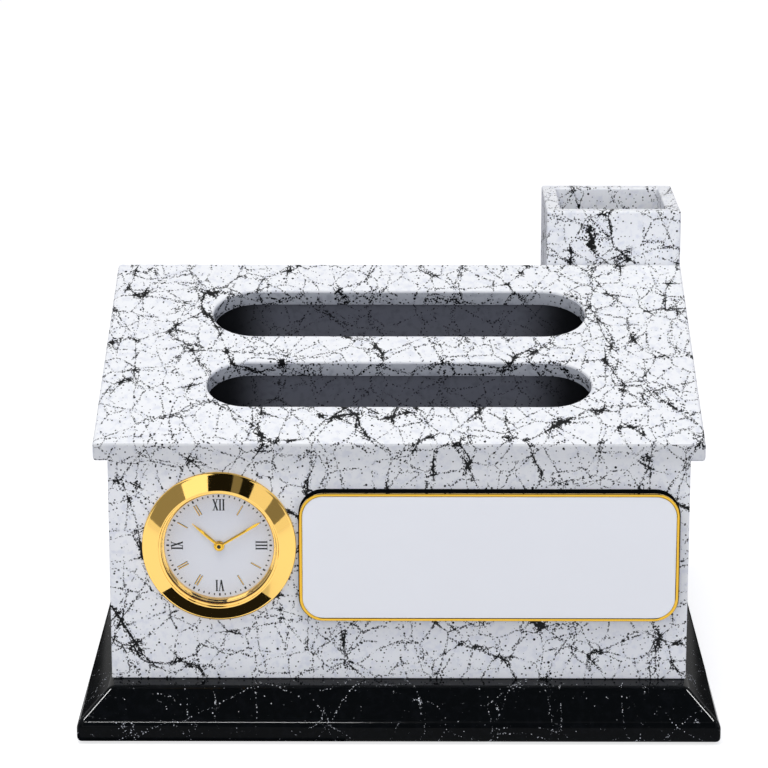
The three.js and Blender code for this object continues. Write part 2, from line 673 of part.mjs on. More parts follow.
function addElectronics() {
  const boardBack = statorSpan[1] - boardThickness;
  addClockPiece('circuit_board', raised(outline(boardCorners), [boardBack, statorSpan[1]]), circuitGreen);
  const onBoard = boardBack - fitGap;
  const contactBack = onBoard - contactThickness;
  const contactX = [batteryX - 2, batteryX + batteryRadius - contactThickness];
  const contact = block(contactX, [batteryY - 1, batteryY + 1], [contactBack, onBoard]);
  addClockPiece('battery_contact', contact, brass);
  const cellFront = contactBack - fitGap;
  const cellSpan = [cellFront - batteryThickness, cellFront];
  const cell = rod(batteryX, batteryY, batteryRadius, cellSpan, middleFacets);
  addClockPiece('battery', cell, steel);
  const clipInner = batteryRadius + 2 * fitGap;
  const clipOuter = clipInner + contactThickness;
  const clipShape = new THREE.Shape();
  clipShape.absarc(batteryX, batteryY, clipOuter, Math.PI / 2, 1.5 * Math.PI);
  clipShape.absarc(batteryX, batteryY, clipInner, 1.5 * Math.PI, Math.PI / 2, true);
  addClockPiece('battery_clip', raised(clipShape, [cellFront - batteryThickness, onBoard]), brass);
  const crystal = new THREE.CylinderGeometry(crystalRadius, crystalRadius, crystalLength, curlFacets);
  crystal.rotateZ(up).translate(...crystalAt, onBoard - crystalRadius);
  addClockPiece('quartz_crystal', crystal, steel);
  const chip = new THREE.BoxGeometry(chipSize, chipSize, chipThickness);
  chip.translate(...chipAt, onBoard - chipThickness / 2);
  addClockPiece('timing_chip', chip, blackPlastic);
}

function addBackCover() {
  const disc = rod(0, 0, caseLipRadius - fitGap, [coverBack, coverFront], wideFacets);
  const through = [2 * coverBack, 0];
  const plugHole = rod(batteryX, batteryY, hatchPlugRadius + turnGap, through, middleFacets);
  const stemHole = rod(...settingAt, centreArborRadius + turnGap, through);
  const lugReach = hatchPlugRadius + hatchLugReach;
  const lugWidth = 2 * hatchLugReach;
  const notchReach = lugReach + turnGap;
  const notchX = [batteryX - lugWidth / 2 - turnGap, batteryX + lugWidth / 2 + turnGap];
  const notch = block(notchX, [batteryY - notchReach, batteryY + notchReach], through);
  addClockPiece('back_cover', cut(disc, plugHole, stemHole, notch), blackPlastic);
  const flangeFront = coverBack - fitGap;
  const plugFront = coverFront + turnGap + hatchLugThickness;
  const flangeSpan = [flangeFront - hatchThickness, flangeFront];
  const flange = rod(batteryX, batteryY, hatchRadius + hatchLugReach, flangeSpan, middleFacets);
  const plug = rod(batteryX, batteryY, hatchPlugRadius, [flangeFront - fitGap, plugFront], middleFacets);
  const lugX = [batteryX - lugReach, batteryX + lugReach];
  const lugY = [batteryY - lugWidth / 2, batteryY + lugWidth / 2];
  const lugs = block(lugX, lugY, [plugFront - hatchLugThickness, plugFront]);
  const slotY = [batteryY - hatchLugReach / 2, batteryY + hatchLugReach / 2];
  const coinSlot = block(lugX, slotY, [2 * coverBack, flangeFront - hatchThickness / 2]);
  addClockPiece('battery_hatch', cut(join(flange, plug, lugs), coinSlot), blackPlastic);
}

// Wheels of the motion work, which drives the hour hand from the minute hand
function addMotionWork() {
  const minutePhase = meshedPhase(0, cannonTeeth, minuteWheelTeeth, up);
  const cannon = gear(cannonTeeth, motionModule, 0, minuteGear);
  const centreWheel = gear(centreWheelTeeth, trainModule, 0, centreGear);
  const stem = rod(0, 0, centreArborRadius, [bridgeBack, minuteGear[1]]);
  const pin = rod(0, 0, handArborRadius, [minuteGear[0], minuteHandSpan[1] + handThickness]);
  addClockPiece('centre_arbor', join(stem, pin, cannon, centreWheel), brass);
  const wheel = gear(minuteWheelTeeth, motionModule, minutePhase, minuteGear, ...minuteWheelAt);
  const pinionSpan = [minuteGear[0], hourGear[1]];
  const pinion = gear(minutePinionTeeth, hourModule, 0, pinionSpan, ...minuteWheelAt);
  const minuteArbor = rod(...minuteWheelAt, arborRadius, [movementBack, minuteGear[1]]);
  addClockPiece('minute_wheel', join(wheel, pinion, minuteArbor), brass);
  const hourPhase = meshedPhase(0, minutePinionTeeth, hourWheelTeeth, -up);
  const hourDisc = gear(hourWheelTeeth, hourModule, hourPhase, hourGear);
  const pipe = rod(0, 0, hourPipeRadius, [hourGear[0], hourHandSpan[1]]);
  const pipeBore = rod(0, 0, handArborRadius + turnGap, [2 * coverBack, bezelCrest]);
  addClockPiece('hour_wheel', cut(join(hourDisc, pipe), pipeBore), brass);
}

// Wheels of the train, which the rotor drives
function addTrain() {
  const pinionPhase = meshedPhase(0, centreWheelTeeth, trainPinionTeeth, intermediateDirection);
  const pinionSpan = [intermediateGear[0], centreGear[1] + turnGap];
  const pinion = gear(trainPinionTeeth, trainModule, pinionPhase, pinionSpan, ...intermediateAt);
  const wheel = gear(intermediateTeeth, rotorModule, 0, intermediateGear, ...intermediateAt);
  const arborSpan = [bridgeBack, movementFront - fitGap];
  const arbor = rod(...intermediateAt, arborRadius, arborSpan);
  addClockPiece('intermediate_wheel', join(pinion, wheel, arbor), brass);
  const rotorPhase = meshedPhase(0, intermediateTeeth, rotorPinionTeeth, rotorDirection);
  const rotorPinionSpan = [intermediateGear[0] - turnGap, intermediateGear[1] + turnGap];
  const rotorPinion = gear(rotorPinionTeeth, rotorModule, rotorPhase, rotorPinionSpan, ...rotorAt);
  const magnetFront = statorSpan[1] + (magnetThickness - statorThickness) / 2;
  const magnet = rod(...rotorAt, magnetRadius, [magnetFront - magnetThickness, magnetFront], middleFacets);
  const rotorArbor = rod(...rotorAt, arborRadius, arborSpan);
  addClockPiece('rotor', join(rotorPinion, magnet, rotorArbor), steel);
}

function addSettingKnob() {
  const minutePhase = meshedPhase(0, cannonTeeth, minuteWheelTeeth, up);
  const settingPhase = meshedPhase(minutePhase, minuteWheelTeeth, settingTeeth, up);
  const pinion = gear(settingTeeth, motionModule, settingPhase, minuteGear, ...settingAt);
  const knobFront = coverBack - fitGap;
  const knobSpan = [knobFront - knobThickness, knobFront];
  const knobModule = (2 * knobRadius) / (knobTeeth + 2 * toothAddendum);
  const knurl = gear(knobTeeth, knobModule, 0, knobSpan, ...settingAt);
  const stem = rod(...settingAt, centreArborRadius, [knobSpan[0], minuteGear[1]]);
  addClockPiece('setting_knob', join(knurl, stem, pinion), blackPlastic);
}

// A lance-shaped hand: a narrow neck, its widest place past the middle and a point.
function hand(length, width, hubRadius, bore, angle, [z0, z1]) {
  const neck = handNeckWidth / 2;
  const widest = handWidestShare * length;
  const corners = [[0, -neck], [widest, -width / 2], [length, 0], [widest, width / 2], [0, neck]];
  const blade = raised(outline(corners), [z0, z1]).rotateZ(angle);
  const hub = rod(0, 0, hubRadius, [z0, z1], middleFacets);
  return cut(join(blade, hub), rod(0, 0, bore, [2 * z0 - 1, 2 * z1 + 1]));
}

function addHands() {
  const minuteBore = handArborRadius + fitGap;
  const hourBore = hourPipeRadius + fitGap;
  const minute = [minuteHandLength, minuteHandWidth, minuteHubRadius, minuteBore, minuteAngle];
  const hour = [hourHandLength, hourHandWidth, hourHubRadius, hourBore, hourAngle];
  addClockPiece('minute_hand', hand(...minute, minuteHandSpan), gold);
  addClockPiece('hour_hand', hand(...hour, hourHandSpan), gold);
}

addBase();
addWalls();
addRoof();
addPockets();
addPhoneTrough();
addPenBox();
addNamePlate();
addClockCase();
addMovement();
addMotor();
addElectronics();
addBackCover();
addMotionWork();
addTrain();
addSettingKnob();
addHands();

export default organizer;
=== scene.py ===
# %% [markdown]
# # A desk organizer with a clock, in marble-look stone
# The object is a small lean-to house of white marble-look plates on a bevelled black base. Its
# sloping roof has two card slots, its front wall holds a push-in quartz clock and a name plate, and
# a phone trough and a pen box stand behind it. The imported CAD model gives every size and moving
# body, so each piece made here goes where a CAD node is, and adds what the plain solids lack:
# softened edges, a printed dial, polished rings and real finishes.

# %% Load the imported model
import json
import math

import bmesh
import bpy
import numpy as np
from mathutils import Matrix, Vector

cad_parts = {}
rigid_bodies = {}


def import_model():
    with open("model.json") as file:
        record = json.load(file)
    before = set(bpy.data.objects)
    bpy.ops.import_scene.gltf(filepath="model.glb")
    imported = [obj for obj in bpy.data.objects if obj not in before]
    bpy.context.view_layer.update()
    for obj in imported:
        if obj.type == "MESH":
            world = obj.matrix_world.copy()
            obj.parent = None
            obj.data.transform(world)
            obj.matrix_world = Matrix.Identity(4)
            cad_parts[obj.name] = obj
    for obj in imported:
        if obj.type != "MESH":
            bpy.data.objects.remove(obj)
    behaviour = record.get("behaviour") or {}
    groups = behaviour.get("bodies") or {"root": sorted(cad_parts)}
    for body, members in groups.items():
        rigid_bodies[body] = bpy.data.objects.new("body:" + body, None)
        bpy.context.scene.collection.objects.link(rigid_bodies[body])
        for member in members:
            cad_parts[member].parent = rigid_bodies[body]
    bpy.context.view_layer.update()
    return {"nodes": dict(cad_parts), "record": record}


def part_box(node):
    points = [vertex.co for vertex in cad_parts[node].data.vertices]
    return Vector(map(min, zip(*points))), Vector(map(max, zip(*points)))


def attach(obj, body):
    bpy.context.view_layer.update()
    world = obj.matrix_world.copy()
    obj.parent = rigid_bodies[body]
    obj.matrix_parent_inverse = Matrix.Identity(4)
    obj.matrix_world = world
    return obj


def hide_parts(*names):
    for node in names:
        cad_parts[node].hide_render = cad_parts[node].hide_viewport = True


for leftover in list(bpy.data.objects):
    bpy.data.objects.remove(leftover)
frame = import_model()

# %% [markdown]
# ## Sizes in millimetres
# Lengths are in millimetres, as a desk object is measured, and are turned to metres at the last
# moment. The places come from the CAD nodes' boxes, so nothing is fitted by eye.

# %% Read the places of the main plates
MM = 0.001


def span(node):
    """The lowest and the highest corner of a CAD node, as numpy rows in millimetres."""
    low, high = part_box(node)
    return np.array(low) / MM, np.array(high) / MM


roof_low, roof_high = span("roof_plate")
front_low, front_high = span("front_wall")
base_low, base_high = span("base_plate")
bezel_low, bezel_high = span("clock_bezel")
front_y = front_low[1]
clock_x = (bezel_low[0] + bezel_high[0]) / 2
clock_z = (bezel_low[2] + bezel_high[2]) / 2
roof_run = roof_high[1] - roof_low[1]
# The roof plate's thickness, measured upright
roof_upright = 4.82
slope = math.atan2(roof_high[2] - roof_low[2] - roof_upright, roof_run)
print("roof slope in degrees:", round(math.degrees(slope), 2))
print("clock centre:", round(clock_x, 2), round(clock_z, 2))

# %% [markdown]
# ## Camera
# The object is seen from straight ahead, a little from above, with a long lens: the roof's rear
# edge looks hardly shorter than its front edge. A camera 0.86 m away with a 153 mm lens on a
# 36 mm sensor gives that. It looks down by 14.7 degrees and is rolled by a third of a degree.

# %% Set the camera


def placed(name, data):
    """A new object in the scene."""
    made = bpy.data.objects.new(name, data)
    bpy.context.scene.collection.objects.link(made)
    return made


camera = placed("camera", bpy.data.cameras.new("camera"))
camera.location = (0.00026, -0.85861, 0.29999)
look_down, roll = 0.2561, 0.0051
camera.rotation_euler = (math.pi / 2 - look_down, 0.0, roll)
camera.data.lens = 153.1
camera.data.sensor_width = 36
camera.data.clip_start = 0.01
bpy.context.scene.camera = camera
bpy.context.scene.view_settings.view_transform = "Standard"
print("camera distance:", round(camera.location.length, 3), "m")

# %% [markdown]
# ## Helpers for colours and nodes
# A hex colour is sRGB, while a shader wants linear light, so one function turns one into the
# other. A second small function adds any shader node with its settings and links, which keeps each
# material short enough to read as a recipe.

# %% Colour and node helpers


def linear(hex_colour):
    """sRGB to linear: a channel under 0.04045 is divided by 12.92, any other is
    ((channel + 0.055) / 1.055) to the power 2.4."""
    channels = np.array([int(hex_colour[i : i + 2], 16) for i in (1, 3, 5)]) / 255
    bright = ((channels + 0.055) / 1.055) ** 2.4
    return (*np.where(channels < 0.04045, channels / 12.92, bright), 1.0)


def add(tree, kind, inputs=(), out=0, **settings):
    """Adds one shader node, sets its properties, and fills or links its sockets, which are given by
    name or number, or in order. Gives back one of its outputs, by name or number."""
    made = tree.nodes.new("ShaderNode" + kind)
    for name, value in settings.items():
        setattr(made, name, value)
    sockets = inputs if isinstance(inputs, dict) else dict(enumerate(inputs))
    for socket, value in sockets.items():
        if isinstance(value, bpy.types.NodeSocket):
            tree.links.new(value, made.inputs[socket])
        else:
            made.inputs[socket].default_value = value
    return made.outputs[out] if made.outputs else None


# A Map Range node eases from one level to the other between two values of its input
EASED = {"interpolation_type": "SMOOTHSTEP"}
# A Mix node takes its share at socket 0 and two colours at 6 and 7, and gives a colour at 2
MIXED = {"out": 2, "data_type": "RGBA"}
# What a Math node does with its two or three numbers: a * b, a * b + c, or a - b
TIMES, TIMES_PLUS, LESS = (
    {"operation": name} for name in ("MULTIPLY", "MULTIPLY_ADD", "SUBTRACT"))


def emptied(block):
    """The node tree of a new material or world, with nothing in it."""
    block.use_nodes = True
    block.node_tree.nodes.clear()
    return block.node_tree


def finish(name):
    """A new material and its empty node tree."""
    material = bpy.data.materials.new(name)
    return material, emptied(material)


def coated(material, inputs):
    """Joins a Principled shader with these inputs to the material's output."""
    tree = material.node_tree
    add(tree, "OutputMaterial", {"Surface": add(tree, "BsdfPrincipled", inputs)})
    return material


def in_millimetres(tree, turn=(0.0, 0.0, 0.0), depth_scale=1.0):
    """Object coordinates in millimetres, turned so that a pattern's grid lies askew. A depth scale
    under 1 makes a pattern that much longer from front to back."""
    place = add(tree, "TexCoord", out="Object")
    scale = (1000, 1000 * depth_scale, 1000)
    return add(tree, "Mapping", {"Vector": place, "Scale": scale, "Rotation": turn})


print("white:", [round(c, 3) for c in linear("#ffffff")])

# %% [markdown]
# ## White crackle stone
# The plates wear a pearly white stone film with black crackle: thin, nearly straight veins that
# break up into dots, star-shaped knots where veins cross, and fine specks all over. Painting that
# by hand would need an image, so it is grown from mathematics, in millimetres. The walls between
# Voronoi cells give a net of straight veins, and balls round random Voronoi points give dots. All
# of it reads object coordinates in three dimensions, so a vein that reaches an edge goes on over
# it, as in a solid block.

# %% Measure distances in millimetres


def net_distance(tree, place, cell):
    """Distance from the nearest wall between Voronoi cells of that size."""
    inputs = {"Vector": place, "Scale": 1 / cell}
    distance = add(tree, "TexVoronoi", inputs, feature="DISTANCE_TO_EDGE")
    return add(tree, "Math", (distance, cell), **TIMES)


def strayed(tree, place, size, reach):
    """The place, pushed by (coloured noise of that size - 0.5) * reach."""
    noise = add(tree, "TexNoise", {"Vector": place, "Scale": 1 / size, "Detail": 1.0}, "Color")
    middle = add(tree, "VectorMath", (noise, (0.5, 0.5, 0.5)), **LESS)
    push = add(tree, "VectorMath", {0: middle, "Scale": reach}, operation="SCALE")
    return add(tree, "VectorMath", (place, push), operation="ADD")


def dots(tree, place, cell, smallest, largest, share=1.0):
    """Radius less distance at random Voronoi points: above 0 inside a round dot. Only the given
    share of the points gets a dot, and its radius grows with the point's random number."""
    nearest = add(tree, "TexVoronoi", {"Vector": place, "Scale": 1 / cell})
    distance = add(tree, "Math", (nearest, cell), **TIMES)
    chance = add(tree, "SeparateColor", (nearest.node.outputs["Color"],))
    radius = add(tree, "MapRange", (chance, 1 - share, 1.0, smallest, largest))
    chosen = add(tree, "Math", (chance, 1 - share), operation="GREATER_THAN")
    radius = add(tree, "Math", (radius, chosen), **TIMES)
    return add(tree, "Math", (radius, distance), **LESS)


def ink_edge(tree, depth):
    """Ink from a depth in millimetres: none 0.03 outside the edge, full 0.07 inside it."""
    return add(tree, "MapRange", (depth, -0.03, 0.07), **EASED)


def darkest(tree, inks):
    """The most inked of several patterns: their maximum."""
    most = inks[0]
    for ink in inks[1:]:
        most = add(tree, "Math", (most, ink), operation="MAXIMUM")
    return most


print("distance helpers are ready")

# %% Open the nets, and find where they cross


def open_nets(tree, place, wander, nets):
    """For each net its distance and where it shows: noise above a level that falls with its
    share."""
    distances, shown = [], []
    for order, (cell, share) in enumerate(nets):
        turn = (0.7 * order, 0.45 * order, 1.1 * order)
        askew = add(tree, "Mapping", {"Vector": wander, "Rotation": turn})
        distances.append(net_distance(tree, askew, cell))
        patch = add(tree, "TexNoise", {"Vector": place, "Scale": 2 / cell, "Detail": 1.0})
        level = 0.64 - 0.34 * share
        shown.append(add(tree, "MapRange", (patch, level, level + 0.08), **EASED))
    return distances, shown


def crossings(tree, place, distances, shown):
    """From 0 to 1 where the first or the last two nets meet: the product of their nearness, which
    falls from 1 at a vein to 0 at 2.2 mm, times a slow noise that makes some stars weaker."""
    close = (add(tree, "MapRange", (far, 0.0, 2.2, 1.0, 0.0), **EASED) for far in distances)
    near = [add(tree, "Math", pair, **TIMES) for pair in zip(close, shown)]
    meeting = darkest(tree, [add(tree, "Math", pair, **TIMES) for pair in zip(near, near[1:])])
    slow = add(tree, "TexNoise", {"Vector": place, "Scale": 1 / 9, "Detail": 2.0})
    strength = add(tree, "MapRange", (slow, 0.42, 0.6, 0.3, 1.0), **EASED)
    return add(tree, "Math", (meeting, strength), **TIMES)


print("net helpers are ready")

# %% Draw veins and stars


def dotted_vein(tree, distance, visible, crossing, swelling, ragged, beads, bead):
    """A ragged hairline, whose reach is its swelling + 0.55 * ragged noise, and a string of beads:
    the dots, cut to a slab on either side of the vein. The slab is 0.8 bead radii, and up to
    0.35 mm more at a crossing, where the dots crowd together."""
    reach = add(tree, "Math", (ragged, 0.55, swelling), **TIMES_PLUS)
    line = add(tree, "Math", (reach, distance), **LESS)
    half = add(tree, "Math", (crossing, 0.35, bead * 0.8), **TIMES_PLUS)
    slab = add(tree, "Math", (half, distance), **LESS)
    string = add(tree, "Math", (beads, slab), operation="MINIMUM")
    either = add(tree, "Math", (line, string), operation="MAXIMUM")
    return add(tree, "Math", (ink_edge(tree, either), visible), **TIMES)


def star_twigs(tree, place, crossing, ragged, star):
    """A fine net that shows only near a crossing, and the star's solid middle."""
    twigs = net_distance(tree, strayed(tree, place, size=1.6, reach=0.8), cell=1.5)
    reach = add(tree, "Math", (crossing, 0.3 * star, -0.1), **TIMES_PLUS)
    reach = add(tree, "Math", (ragged, 0.4, reach), **TIMES_PLUS)
    depth = add(tree, "Math", (reach, twigs), **LESS)
    core = add(tree, "Math", (ragged, 0.7, crossing), **TIMES_PLUS)
    level = 1.66 - 0.8 * star
    return [ink_edge(tree, depth), add(tree, "MapRange", (core, level, level + 0.08), **EASED)]


print("vein and star helpers are ready")

# %% Put the stone together


def crackle_stone(name, ground, shade, ink, roughness, specular, nets, hair, bead, star, dust,
                  turn, darkened=None):
    """Stone with nets of dotted veins, stars and specks. Each net has a cell size and the share of
    it that is drawn. Hair is a vein's half width, bead the largest radius of its dots, star the
    strength of the stars where nets cross, and dust the share of specks. What darkened(tree) gives
    is the share of black mixed into the ground."""
    material, tree = finish(name)
    place = in_millimetres(tree, turn, depth_scale=0.7)
    bends = strayed(tree, place, size=16, reach=4.0)
    wander = strayed(tree, bends, size=2.2, reach=0.35)
    fray, drift, wear = (
        add(tree, "TexNoise", {"Vector": place, "Scale": 1 / size, "Detail": detail})
        for size, detail in ((0.7, 1.0), (1.8, 3.0), (4, 2.0)))
    ragged = add(tree, "Math", (fray, 0.5), **LESS)
    beads = dots(tree, place, 0.55, bead * 0.4, bead)
    distances, shown = open_nets(tree, place, wander, nets)
    crossing = crossings(tree, place, distances, shown)
    tapered = add(tree, "Math", (crossing, 1.5), operation="POWER")
    swelling = add(tree, "Math", (tapered, 0.3 * star, hair), **TIMES_PLUS)
    inks = [dotted_vein(tree, distance, visible, crossing, swelling, ragged, beads, bead)
            for distance, visible in zip(distances, shown)]
    inks += star_twigs(tree, place, crossing, ragged, star)
    inks.append(ink_edge(tree, dots(tree, place, 1.0, 0.25 * bead, 0.8 * bead, dust)))
    inks.append(ink_edge(tree, dots(tree, place, 2.3, 0.4 * bead, 1.2 * bead, 0.6 * dust)))
    mist = add(tree, "MapRange", (drift, 0.45, 0.72), **EASED)
    stone = add(tree, "Mix", {0: mist, 6: linear(ground), 7: linear(shade)}, **MIXED)
    if darkened:
        stone = add(tree, "Mix", {0: darkened(tree), 6: stone, 7: linear("#000000")}, **MIXED)
    inked = add(tree, "Mix", {0: darkest(tree, inks), 6: stone, 7: linear(ink)}, **MIXED)
    sheen = add(tree, "MapRange", (wear, 0.3, 0.7, roughness, roughness * 1.25), **EASED)
    return coated(material, {"Base Color": inked, "Roughness": sheen, "IOR": 1.49,
                             "Specular IOR Level": specular})


# %% Make the white stone


def under_roof_edge(tree):
    """Front faces near the roof's edge lie in its soft shade: from 0 at 9 mm under the edge to 0.22
    at 2 mm over it, and 0 behind the front."""
    place = add(tree, "SeparateXYZ", (add(tree, "TexCoord", out="Object"),)).node.outputs
    in_front = add(tree, "Math", (place["Y"], (front_y + 0.3) * MM), operation="LESS_THAN")
    span_z = ((roof_low[2] - 9) * MM, (roof_low[2] + 2) * MM)
    shade = add(tree, "MapRange", (place["Z"], *span_z, 0.0, 0.22), **EASED)
    return add(tree, "Math", (in_front, shade), **TIMES)


white_nets, white_turn = [(13, 1.15), (18, 1.3), (8.5, 0.85)], (0.21, 0.13, 0.35)
white_stone = crackle_stone("white_crackle_stone", "#f9fafd", "#eaecf4", "#090a0d", 0.38, 0.16,
                            white_nets, 0.016, 0.33, 0.88, 0.85, white_turn, under_roof_edge)
print("white stone nodes:", len(white_stone.node_tree.nodes))

# %% [markdown]
# ## Polished black stone
# The base is black stone under a gloss lacquer, with sparse white veins that read as dotted lines.
# The same recipe serves with the colours exchanged and far less ink. Polish means a low roughness,
# and a lower specular level keeps the pale floor from greying the black.

# %% Make the black stone
black_nets = [(15, 0.6), (22, 0.85), (9, 0.1)]
black_stone = crackle_stone("polished_black_stone", "#090b0d", "#0d0f12", "#d2d5dc", 0.07, 0.045,
                            black_nets, -0.07, 0.19, 0.3, 0.14, (0.5, 0.3, 0.9))
# The slots' cut edges get a duller, darker copy of the stone, which paints the shade there, and
# the sheets in the pockets paint a darker shade still
slot_shade_stone = crackle_stone("slot_edge_painted_shade", "#b6b9c0", "#a0a3ac", "#090a0d", 0.45, 0.1,
                          white_nets, 0.0, 0.4, 0.8, 1.0, white_turn)


def toward_ends(tree):
    """Little light reaches the ends of a pocket: from 0 at 31 mm from the middle to 0.9 at
    46 mm."""
    place = add(tree, "SeparateXYZ", (add(tree, "TexCoord", out="Object"),), "X")
    across = add(tree, "Math", (place,), operation="ABSOLUTE")
    return add(tree, "MapRange", (across, 31 * MM, 46 * MM, 0.0, 0.9), **EASED)


# A dark copy of the stone paints the shade inside the pockets, darker towards their ends
pocket_shade_stone = crackle_stone("pocket_painted_shade", "#777982", "#6d6f78", "#26272b", 0.6, 0.1,
                          white_nets, -0.04, 0.3, 0.5, 0.2, white_turn, toward_ends)
print("stones:", black_stone.name, slot_shade_stone.name, pocket_shade_stone.name)

# %% [markdown]
# ## Metals
# Polished brass with a gold finish makes the bezel and the rings. A metal's colour is its
# reflection, so Metallic is 1 and the IOR stays at its default. Very faint polishing marks, drawn
# as stretched noise, keep the gloss from looking like plastic. The plate's frame, the hands, works
# brass, steel and copper wire are the same kind of recipe with more roughness.

# %% Make the metals


def polished_metal(name, colour, roughness, mark_size, mark_depth):
    """Metal whose roughness wavers with noise stretched along one direction."""
    material, tree = finish(name)
    stretched = add(tree, "Mapping", {"Vector": in_millimetres(tree), "Scale": (1.0, 6.0, 6.0)})
    marks = add(tree, "TexNoise", {"Vector": stretched, "Scale": 1 / mark_size, "Detail": 3.0})
    gloss = add(tree, "MapRange", (marks, 0.3, 0.7, roughness * 0.8, roughness * 1.3), **EASED)
    bump = {"Height": marks, "Strength": mark_depth, "Distance": 0.02 * MM}
    return coated(material, {"Base Color": linear(colour), "Metallic": 1.0, "Roughness": gloss,
                             "Normal": add(tree, "Bump", bump)})


gold = polished_metal("polished_gold_plate", "#f8cd74", 0.05, 2.0, 0.02)
# The name plate's frame is cut from gold foil acrylic, which is deeper in colour than plated brass
gold_foil = polished_metal("gold_foil_acrylic", "#dbaf41", 0.12, 2.0, 0.02)
# The hands wear a yellow gilt lacquer
gilt = polished_metal("gilt_hand_lacquer", "#ecbd38", 0.15, 2.0, 0.02)
works_brass = polished_metal("works_brass", "#c9a24e", 0.3, 1.0, 0.2)
steel = polished_metal("nickel_plated_steel", "#b9bcc2", 0.25, 1.5, 0.2)
copper = polished_metal("enamelled_copper_wire", "#b4673a", 0.35, 0.3, 0.4)
print("metals:", gold.name, gold_foil.name, gilt.name, works_brass.name, steel.name, copper.name)

# %% [markdown]
# ## Plastics, acrylic, rubber, paper and glass
# The name plate's face is gloss acrylic and its backing matt, as acrylic is where it was cut. The
# clock's works are moulded black plastic with a fine grain, the feet and the grip ring are rubber.
# The dial is pale satin card with a faint fibre, and the lens is clear mineral glass. A thin flat
# glass shows almost only its surface gloss, so a nearly transparent alpha with a sharp gloss gives
# it without slow caustics.

# %% Make the moulded and coated finishes


def moulded(name, colour, roughness, grain, depth, ior=1.5, specular=0.5, tint=0.06):
    """Dielectric with a fine grain: noise of that size tints the colour and lifts a bump."""
    material, tree = finish(name)
    fine = add(tree, "TexNoise", {"Vector": in_millimetres(tree), "Scale": 1 / grain})
    dark = tuple(np.multiply(linear(colour), (1 - tint, 1 - tint, 1 - tint, 1)))
    shaded = add(tree, "Mix", {0: fine, 6: dark, 7: linear(colour)}, **MIXED)
    bump = {"Height": fine, "Strength": depth, "Distance": 0.05 * MM}
    return coated(material, {"Base Color": shaded, "Roughness": roughness, "IOR": ior,
                             "Specular IOR Level": specular, "Normal": add(tree, "Bump", bump)})


black_plastic = moulded("moulded_abs_black", "#1a1b1e", 0.5, 0.6, 0.3)
black_acrylic = moulded("matt_cut_acrylic_black", "#08090a", 0.5, 3.0, 0.05, 1.49, 0.0)
white_acrylic = moulded("gloss_acrylic_white", "#fafbff", 0.08, 12.0, 0.0, 1.49, 0.3, 0.02)
rubber = moulded("black_rubber", "#24262a", 0.8, 0.4, 0.4, 1.52, 0.3)
dial_card = moulded("satin_dial_card", "#f1f3f9", 0.42, 0.5, 0.02, 1.5, 0.3, 0.015)
dial_ink = moulded("printed_black_ink", "#08090b", 0.4, 0.3, 0.05, 1.5, 0.2)
board_green = moulded("circuit_board_green", "#1f5b3a", 0.4, 0.8, 0.1)

lens_glass, lens_tree = finish("clear_mineral_glass")
smear = add(lens_tree, "TexNoise", {"Vector": in_millimetres(lens_tree), "Scale": 1 / 9})
lens_gloss = add(lens_tree, "MapRange", (smear, 0.3, 0.7, 0.01, 0.03), **EASED)
coated(lens_glass, {"Base Color": linear("#f4f8ff"), "Roughness": lens_gloss, "IOR": 1.52,
                    "Alpha": 0.02})
print("materials so far:", len(bpy.data.materials))

# %% [markdown]
# ## From numbers to a closed piece
# Every new piece is worked out as arrays of points. A piece that is cut, turned or cast in one go
# is most simply a profile carried along a closed path: the base's bevel runs round a rectangle, the
# bezel's section round a circle. Blender is then given the points and the faces, and the faces are
# turned outwards once, because a solid is shaded from outside. The imported record names a slot for
# every finish, and a table here lists each material's slot.

# %% Match the finishes to the record's slots
finishes = dict(
    white_marble=white_stone, black_marble=black_stone, gold_metal=gold, brass_works=works_brass,
    steel=steel, copper_wire=copper, black_plastic=black_plastic, rubber=rubber,
    circuit_board=board_green, black_acrylic=black_acrylic, white_acrylic=white_acrylic,
    silver_dial=dial_card, clear_lens=lens_glass)
slot_of = {material.name: slot for slot, material in finishes.items()}
slot_of |= {slot_shade_stone.name: "white_marble", pocket_shade_stone.name: "black_marble",
            gold_foil.name: "gold_metal", gilt.name: "gold_metal", dial_ink.name: "black_plastic"}
print("finishes:", len(slot_of), "slots:", len(finishes))

# %% Make a piece from points and faces
# Faces that meet at more than this angle show an edge
CREASE = math.radians(28)


def piece(name, points, faces, material, stands_for=(), body="organizer_body"):
    """Points in millimetres and faces become a closed mesh that rides on a body."""
    mesh = bpy.data.meshes.new(name)
    mesh.from_pydata((np.asarray(points, float) * MM).tolist(), [], [list(f) for f in faces])
    closed = bmesh.new()
    closed.from_mesh(mesh)
    bmesh.ops.remove_doubles(closed, verts=closed.verts, dist=1e-7)
    bmesh.ops.recalc_face_normals(closed, faces=closed.faces)
    closed.to_mesh(mesh)
    closed.free()
    mesh.polygons.foreach_set("use_smooth", np.ones(len(mesh.polygons), bool))
    mesh.set_sharp_from_angle(angle=CREASE)
    mesh.materials.append(material)
    made = placed(name, mesh)
    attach(made, body)
    if stands_for:
        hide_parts(*stands_for)
    return made


def round_edges(made, radius, steps=3, stay_sharp=None):
    """Rounds every corner edge with a Bevel modifier. Edges whose ends all satisfy
    stay_sharp(ends in millimetres) are left as they are."""
    mesh = made.data
    edges = bmesh.new()
    edges.from_mesh(mesh)
    corner = np.array([edge.calc_face_angle(0.0) > CREASE for edge in edges.edges])
    ends = np.array([[vert.co[:] for vert in edge.verts] for edge in edges.edges]) / MM
    edges.free()
    kept = corner & stay_sharp(ends) if stay_sharp else np.zeros_like(corner)
    weights = mesh.attributes.new("bevel_weight_edge", "FLOAT", "EDGE")
    weights.data.foreach_set("value", (corner & ~kept).astype(float))
    mesh.set_sharp_from_angle(angle=math.pi)
    mesh.edges.foreach_set("use_edge_sharp", kept)
    bevel = made.modifiers.new("rounded edges", "BEVEL")
    bevel.width = radius * MM
    bevel.segments = steps
    bevel.limit_method = "WEIGHT"
    bevel.harden_normals = True


